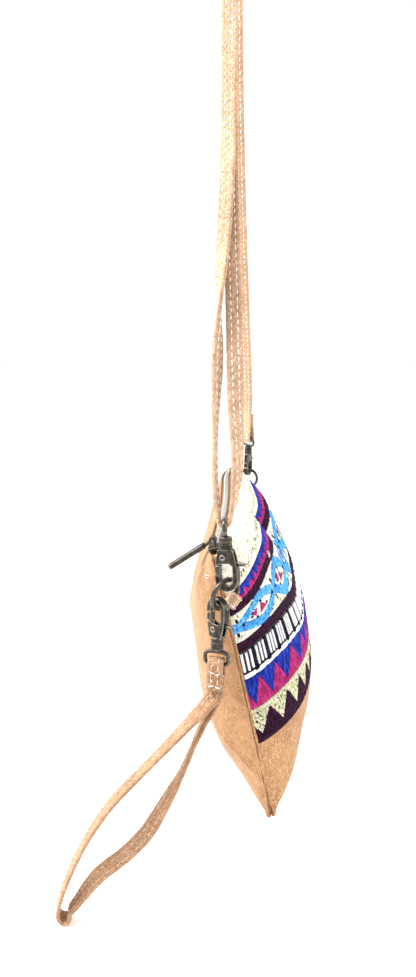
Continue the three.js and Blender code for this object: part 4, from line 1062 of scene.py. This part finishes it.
WRIST = np.array([
    (-152.844, -0.852, -524.76, 0.183, 0.983, 0.011),
    (-152.507, -0.987, -518.02, 0.183, 0.983, 0.011),
    (-152.17, -1.122, -511.279, 0.183, 0.983, 0.011),
    (-151.884, -1.187, -510.126, 0.183, 0.983, 0.011),
    (-151.185, -1.327, -509.173, 0.183, 0.983, 0.011),
    (-150.181, -1.521, -508.565, 0.183, 0.983, 0.011),
    (-149.023, -1.738, -508.395, 0.183, 0.983, 0.011),
    (-147.889, -1.945, -508.688, 0.183, 0.983, 0.011),
    (-146.95, -2.112, -509.4, 0.183, 0.983, 0.011),
    (-146.35, -2.213, -510.423, 0.183, 0.983, 0.011),
    (-146.181, -2.232, -511.601, 0.183, 0.983, 0.011),
    (-146.518, -2.097, -518.341, 0.183, 0.983, 0.011),
    (-146.979, -1.912, -527.578, 0.183, 0.983, 0.011),
    (-148.4, 0.4, -535, 0.643, 0.766, 0),
    (-149.409, 2.569, -539.915, 0.839, 0.545, 0),
    (-150.4, 4.8, -545, 0.961, 0.276, 0),
    (-151.451, 7.548, -551.301, 0.982, 0.191, 0),
    (-152.5, 10.4, -558, 0.995, 0.105, 0),
    (-153.733, 13.423, -565.786, 0.99, 0.139, 0),
    (-155, 16.8, -574, 0.985, 0.174, 0),
    (-156.543, 21.946, -584.393, 0.887, 0.462, 0),
    (-158, 27.5, -594.7, 0.707, 0.707, 0),
    (-159.073, 31.947, -602.904, 0.522, 0.853, 0),
    (-160, 36.8, -610.6, 0.309, 0.951, 0),
    (-160.78, 43.119, -618.176, 0.225, 0.974, 0),
    (-161.5, 50, -625.2, 0.139, 0.99, 0),
    (-162.275, 56.731, -630.9, 0.242, 0.97, 0),
    (-163, 63.2, -636.6, 0.342, 0.94, 0),
    (-163.523, 68.577, -643.212, 0.588, 0.809, 0),
    (-164, 73.4, -650, 0.788, 0.616, 0),
    (-164.495, 77.387, -655.79, 0.903, 0.431, 0),
    (-165, 81.2, -661.5, 0.974, 0.225, 0),
    (-165, 81.393, -664.294, 0.978, 0.208, 0),
    (-165, 82.43, -665.722, 0.978, 0.208, 0),
    (-165, 84.121, -666.388, 0.978, 0.208, 0),
    (-165, 85.902, -666.025, 0.978, 0.208, 0),
    (-165, 87.171, -664.8, 0.978, 0.208, 0),
    (-165, 87.4, -658, 0.974, 0.225, 0),
    (-165.02, 86.115, -653.156, 0.97, 0.242, 0),
    (-165, 84.6, -648, 0.966, 0.259, 0),
    (-164.813, 81.62, -639.699, 0.966, 0.259, 0),
    (-164.5, 78, -630.8, 0.966, 0.259, 0),
    (-164.054, 73.811, -621.535, 0.966, 0.259, 0),
    (-163.5, 69, -612.2, 0.966, 0.259, 0),
    (-162.791, 62.758, -601.782, 0.964, 0.267, 0),
    (-162, 56, -591.9, 0.961, 0.276, 0),
    (-161.275, 50.17, -584.732, 0.961, 0.276, 0),
    (-160.5, 44, -577.8, 0.961, 0.276, 0),
    (-159.536, 35.841, -568.745, 0.961, 0.276, 0),
    (-158.5, 27.5, -559.6, 0.961, 0.276, 0),
    (-157.582, 20.23, -551.464, 0.927, 0.375, 0),
    (-156.4, 13.5, -544, 0.883, 0.469, 0),
    (-154.974, 8.927, -539.135, 0.777, 0.629, 0),
    (-153.4, 4.6, -534.6, 0.643, 0.766, 0),
    (-149.974, -1.357, -527.417, 0.183, 0.983, 0.011),
    (-149.445, -1.569, -516.832, 0.183, 0.983, 0.011),
])


def smooth_route(stations, step):
    """Catmull-Rom through the stations by chord length, evenly resampled."""
    p, w = stations[:, :3], unit(stations[:, 3:])
    d = np.concatenate([[0], np.cumsum(np.linalg.norm(np.diff(p, axis=0), axis=1))])
    both = np.concatenate([p, w * 10], 1)
    slope = np.gradient(both, d, axis=0)
    n = max(8, int(d[-1] / step))
    s = np.linspace(0, d[-1], n)
    i = np.clip(np.searchsorted(d, s, side="right") - 1, 0, len(d) - 2)
    h = (d[i + 1] - d[i])[:, None]
    t = ((s - d[i])[:, None]) / h
    t2, t3 = t * t, t * t * t
    out = (2 * t3 - 3 * t2 + 1) * both[i] + (t3 - 2 * t2 + t) * h * slope[i] + (3 * t2 - 2 * t3) * both[i + 1] + (t3 - t2) * h * slope[i + 1]
    p = out[:, :3]
    along = unit(np.gradient(p, axis=0))
    w = unit(out[:, 3:])
    w = unit(w - along * np.sum(w * along, 1, keepdims=True))
    up = unit(np.cross(along, w))
    arc = np.concatenate([[0], np.cumsum(np.linalg.norm(np.diff(p, axis=0), axis=1))])
    return p, along, w, up, arc


def strap_section(half_w, half_t, groove):
    """Half profile from edge to edge of one face: rounded edges and two shallow stitch channels."""
    flat = np.array([0.1, 0.24, 0.32, 0.4, 0.48, 0.56, 0.72, 0.9, 0.934, 0.967, 1.0])
    x = np.concatenate([-flat[::-1], flat])
    y = half_t * np.maximum(0, 1 - np.abs(x) ** 14) ** 0.5
    y = y - groove * np.exp(-((np.abs(x) * half_w - (half_w - 2.7)) / 0.42) ** 2)
    return x * half_w, y


def strap(name, stations, half_w, half_t, replaced, material, seed):
    p, along, w, up, arc = smooth_route(stations, 1.7)
    x, y = strap_section(half_w, half_t - 0.04, 0.16)
    wav = 0.07 * np.sin(arc * 0.9 + seed) + 0.06 * np.sin(arc * 0.37 + 2.1 * seed)
    edge = 1 - 0.012 * (1 + np.sin(arc * 0.53 + seed))
    ring = []
    for face in (1, -1):
        order = range(len(x)) if face == 1 else range(len(x) - 2, 0, -1)
        for k in order:
            nap = 0.05 * np.sin(arc * 1.7 + x[k] * 2.1 + seed) * (abs(x[k]) < half_w * 0.9)
            ring.append(p + w * (x[k] * edge)[:, None] + up * (face * y[k] + (nap * face) + wav * 0.25 * (1 - (x[k] / half_w) ** 2))[:, None])
    rings = np.stack(ring, 1)[None]
    v, f = tube(rings)
    o = piece(name, v, f, material)
    if replaced:
        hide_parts(replaced)
    return p, along, w, up, arc


def dashes(route, half_w, half_t, start, stop, pitch=4.1, length=2.7, inset=2.7, faces=(1, -1), sides=(-1, 1), girth=0.55):
    """Sewing along a strap: each stitch dips in at both ends."""
    p, along, w, up, arc = route
    out = []
    t = np.array([0.0, 0.16, 0.5, 0.84, 1.0])
    for face in faces:
        for side_ in sides:
            at = start + 0.6 * rng.random()
            while at + length < stop:
                jl = length * (0.92 + 0.16 * rng.random())
                s = at + jl * t
                pick = lambda a: np.stack([np.interp(s, arc, a[:, k]) for k in range(3)], 1)
                c, a_, w_, u_ = pick(p), unit(pick(along)), unit(pick(w)), unit(pick(up))
                x = side_ * (half_w - inset) + (rng.random() - 0.5) * 0.16 + (t - 0.5) * (rng.random() - 0.5) * 0.35
                rise = np.array([-0.34, 0.12, 0.24, 0.12, -0.34])
                g = girth * np.array([0.55, 1.0, 1.08, 1.0, 0.55])
                ring = []
                for ang in np.radians(np.arange(0, 360, 72)):
                    ring.append(c + w_ * (x + 0.5 * g * math.cos(ang))[:, None] + u_ * (face * (half_t - 0.16 + rise + 0.42 * g * math.sin(ang) * 1.0))[:, None])
                ring = np.stack(ring, 1)
                out.append(ring if face > 0 else ring)
                at += pitch * (0.97 + 0.06 * rng.random())
    return out


def sewing(name, rings, body="bag", material=T_SEW):
    rings = np.array(rings)
    v, f = tube(rings)
    # set each stitch's faces by its own volume
    t, s, k = rings.shape[:3]
    fixed = []
    ctr = rings.reshape(t, -1, 3).mean(1)
    vol = np.zeros(t)
    for faces in f:
        per = len(faces) // t
        a = v[faces[:, 0]] - np.repeat(ctr, per, 0)
        b = v[faces[:, 1]] - np.repeat(ctr, per, 0)
        c = v[faces[:, 2]] - np.repeat(ctr, per, 0)
        x = np.einsum("ij,ij->i", a, np.cross(b, c))
        if faces.shape[1] == 4:
            d = v[faces[:, 3]] - np.repeat(ctr, per, 0)
            x = x + np.einsum("ij,ij->i", a, np.cross(c, d))
        vol += x.reshape(t, per).sum(1)
    for faces in f:
        per = len(faces) // t
        fixed.append(np.where(np.repeat(vol > 0, per)[:, None], faces, faces[:, ::-1]))
    length = np.linalg.norm(rings[:, -1].mean(1) - rings[:, 0].mean(1), axis=-1)
    uv = np.zeros(rings.shape[:3] + (2,))
    uv[..., 0] = (length[:, None] * np.linspace(0, 1, s)[None])[:, :, None]
    uv[..., 1] = np.linspace(0, 1.2, k)[None, None]
    return piece(name, v, fixed, material, body, uv=uv.reshape(-1, 2), turn=False)


route_s = strap("shoulder_strap_suede", SHOULDER, 4.5, 1.2, "shoulder_strap", SUEDE_STRAP, 0.7)
# the wrist strap takes the darker suede copy, which is painted shade
route_w = strap("wrist_strap_suede", WRIST, 4.5, 1.2, "wrist_strap", SUEDE_WRIST_PAINTED_SHADE, 1.9)
sewing("shoulder_strap_stitches", dashes(route_s, 4.5, 1.2, 3.0, route_s[4][-1] - 3.0))
sewing("wrist_strap_stitches", dashes(route_w, 4.5, 1.2, 3.0, route_w[4][-1] - 3.0, 3.8, 3.0, girth=0.42), material=T_SEW_TAN)


# ------------------------------------------------------------------ ring tabs: folded suede loops
def ring_tab(name, base, toward, k, along, length, replaced, seam):
    base, toward, k, along = [np.array(a, float) for a in (base, toward, k, along)]
    ang = np.radians(np.linspace(90, 270, 19))
    r = 3.05
    loop = [(-0.9 + r * math.cos(a), r * math.sin(a)) for a in ang]
    n = 9
    upper = [(-0.9 + (length + 0.9) * t, r + (1.15 - r) * (t * t * (3 - 2 * t))) for t in np.linspace(1, 0, n, endpoint=False)]
    lower = [(x, -y) for x, y in upper[::-1]]
    path = np.array(upper + loop + lower)
    p = base + path[:, :1] * toward + path[:, 1:] * k
    # both ends run on into the side seam
    def root(end, before, lift_):
        s = np.array(seam) + lift_ * k
        m = end + (end - before) / np.linalg.norm(end - before) * np.linalg.norm(s - end) * 0.45
        return [(1 - t) ** 2 * end + 2 * t * (1 - t) * m + t * t * s for t in (0.25, 0.5, 0.75, 1.0)]
    p = np.array(root(p[0], p[1], 0.82)[::-1] + list(p) + root(p[-1], p[-2], -0.82))
    st_ = np.concatenate([p, np.repeat(along[None], len(p), 0)], 1)
    route = strap(name, st_, 4.0, 0.8, replaced, SUEDE_STRAP, 0.3)
    return route


tab_near = ring_tab("ring_tab_near_suede", (-141.2038, -9.5748, -477.8325), (.92708, .13373, -.35019), (-.10713, -.80073, -.58937), (-.35922, .58391, -.72801), 6.2, "ring_tab_near", (-133.2, -4.4, -482.6))
tab_far = ring_tab("ring_tab_far_suede", (144.9742, -10.6676, -477.669), (-.8932, -.09208, -.44014), (-.43782, -.04514, .89793), (-.10255, .99473, 0), 8.5, "ring_tab_far", (133.2, -4.4, -482.6))
sewing("ring_tab_stitches", dashes(tab_near, 4.0, 0.8, 0.6, tab_near[4][-1] - 0.6, 3.0, 2.1, 1.2, girth=0.5) + dashes(tab_far, 4.0, 0.8, 0.6, tab_far[4][-1] - 0.6, 3.0, 2.1, 1.2, girth=0.5))


# ------------------------------------------------------------------ hand stitches
def bars(route, arc_at, x0, x1, face, half_t, girth=0.6, tilt=0.0):
    """One thick stitch across a strap."""
    p, along, w, up, arc = route
    t = np.array([0.0, 0.16, 0.5, 0.84, 1.0])
    s = arc_at + tilt * (t - 0.5)
    pick = lambda a: np.stack([np.interp(s, arc, a[:, k]) for k in range(3)], 1)
    c, a_, w_, u_ = pick(p), unit(pick(along)), unit(pick(w)), unit(pick(up))
    x = x0 + (x1 - x0) * t
    rise = np.array([-0.3, 0.2, 0.36, 0.2, -0.3])
    g = girth * np.array([0.6, 1.0, 1.08, 1.0, 0.6])
    ring = []
    for ang in np.radians(np.arange(0, 360, 72)):
        ring.append(c + w_ * x[:, None] + a_ * (0.5 * g * math.cos(ang))[:, None] + u_ * (face * (half_t - 0.1 + rise + 0.45 * g * math.sin(ang)))[:, None])
    return np.stack(ring, 1)


tack = []
for face in (1, -1):
    for at_, x0, x1, tilt in ((2.2, -3.2, -0.6, 0.5), (2.6, 0.2, 3.3, -0.6), (9.6, -3.0, -0.4, -1.1), (10.4, -0.2, 2.9, 0.9), (6.0, 0.6, 2.4, 2.4)):
        tack.append(bars(route_w, at_, x0, x1, face, 1.2, 0.62, tilt))
sewing("wrist_tab_tack", tack)


def panel_stitch(rows_, folds, side_, extra, u0, s0, u1, s1, girth=0.6):
    t = np.array([0.0, 0.16, 0.5, 0.84, 1.0])
    u, s = u0 + (u1 - u0) * t, s0 + (s1 - s0) * t
    f = lambda uu, ss: panel_point(rows_, folds, side_, uu, ss, extra)
    e = 0.002
    n = unit(np.cross(f(u + e, s) - f(u - e, s), f(u, s + e) - f(u, s - e)))
    n = n * np.where(n[..., 1:2] * side_ < -0.2, -1, 1)
    p, n = to_row(f(u, s)), turn_row(n)
    along = unit(np.gradient(p, axis=0))
    acr = unit(np.cross(n, along))
    rise = np.array([-0.3, 0.15, 0.3, 0.15, -0.3])
    g = girth * np.array([0.6, 1.0, 1.08, 1.0, 0.6])
    return np.stack([p + acr * (0.5 * g * math.cos(a))[:, None] + n * (rise + 0.45 * g * math.sin(a))[:, None] for a in np.radians(np.arange(0, 360, 72))], 1)


ends = []
for sg in (-1, 1):
    for ds, a0, a1, tilt in ((0.0, 0.950, 0.974, 0.002), (0.013, 0.956, 0.972, -0.004)):
        ends.append(panel_stitch(BACK_ROWS, BACK_FOLDS, 1, back_extra, sg * a0, 0.066 + ds, sg * a1, 0.066 + ds + tilt, 0.42))
sewing("zip_end_tack", ends)


# ------------------------------------------------------------------ metal
METAL = ["ring_near", "ring_far", "zip_slider", "zip_pull"]
for c in ("strap_clasp_near", "strap_clasp_far", "wrist_clasp"):
    METAL += [c + "_body", c + "_lever", c + "_eye"]
for name in METAL:
    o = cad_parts[name]
    o = bpy.data.objects[o] if isinstance(o, str) else o
    o.data.materials.clear()
    o.data.materials.append(GUN)
    m = o.modifiers.new("fine_skin", "REMESH")
    m.mode = "VOXEL"
    m.voxel_size = 0.0003
    m.use_smooth_shade = True
    s = o.modifiers.new("rounded", "SMOOTH")
    s.factor = 0.5
    s.iterations = 6


def lathe(profile, n=28):
    a = np.linspace(0, 2 * math.pi, n, endpoint=False)
    r = np.array([p[0] for p in profile])
    h = np.array([p[1] for p in profile])
    pts = np.stack([np.broadcast_to(h[:, None], (len(r), n)), r[:, None] * np.cos(a)[None], r[:, None] * np.sin(a)[None]], -1)
    faces = grid_faces(len(r), n, closed=True)
    i = len(r) - 1
    j = np.arange(n)
    faces = np.concatenate([faces, np.stack([i * n + j, j, (j + 1) % n, i * n + (j + 1) % n], -1)])
    return pts.reshape(-1, 3), faces


CLASPS = {
    "strap_clasp_near": ((.926692, -.357566, -.11571), (.344512, .931254, -.118644), (.150178, .070083, .986172), (-145.831, -6.568, -453.160)),
    "strap_clasp_far": ((.339681, .939117, .051728), (-.928414, .343597, -.141383), (-.150549, 0, .988603), (146.610, -10.323, -450.055)),
    "wrist_clasp": ((-.758976, .649124, .050931), (.649202, .76042, -.017252), (-.049928, .019971, -.998553), (-148.147, -2.088, -490.870)),
}
RIVET = [(0.62, 0.10), (0.75, 0.42), (1.05, 0.52), (1.42, 0.46), (1.66, 0.26), (1.70, -0.15), (0.62, -0.25)]
for name, (ax, ay, az, o) in CLASPS.items():
    ax, ay, az, o = [np.array(t) for t in (ax, ay, az, o)]
    vs, fs, k = [], [], 0
    for s in (1, -1):
        pts, fc = lathe(RIVET)
        local = np.stack([s * (2.08 + pts[:, 0]), 1.5 + pts[:, 1], 0.9 + s * pts[:, 2]], -1)
        vs.append(o + local[:, :1] * ax + local[:, 1:2] * ay + local[:, 2:] * az)
        fs.append(fc + k)
        k += len(pts)
    piece(name + "_rivet", np.concatenate(vs), [np.concatenate(fs)], GUN)
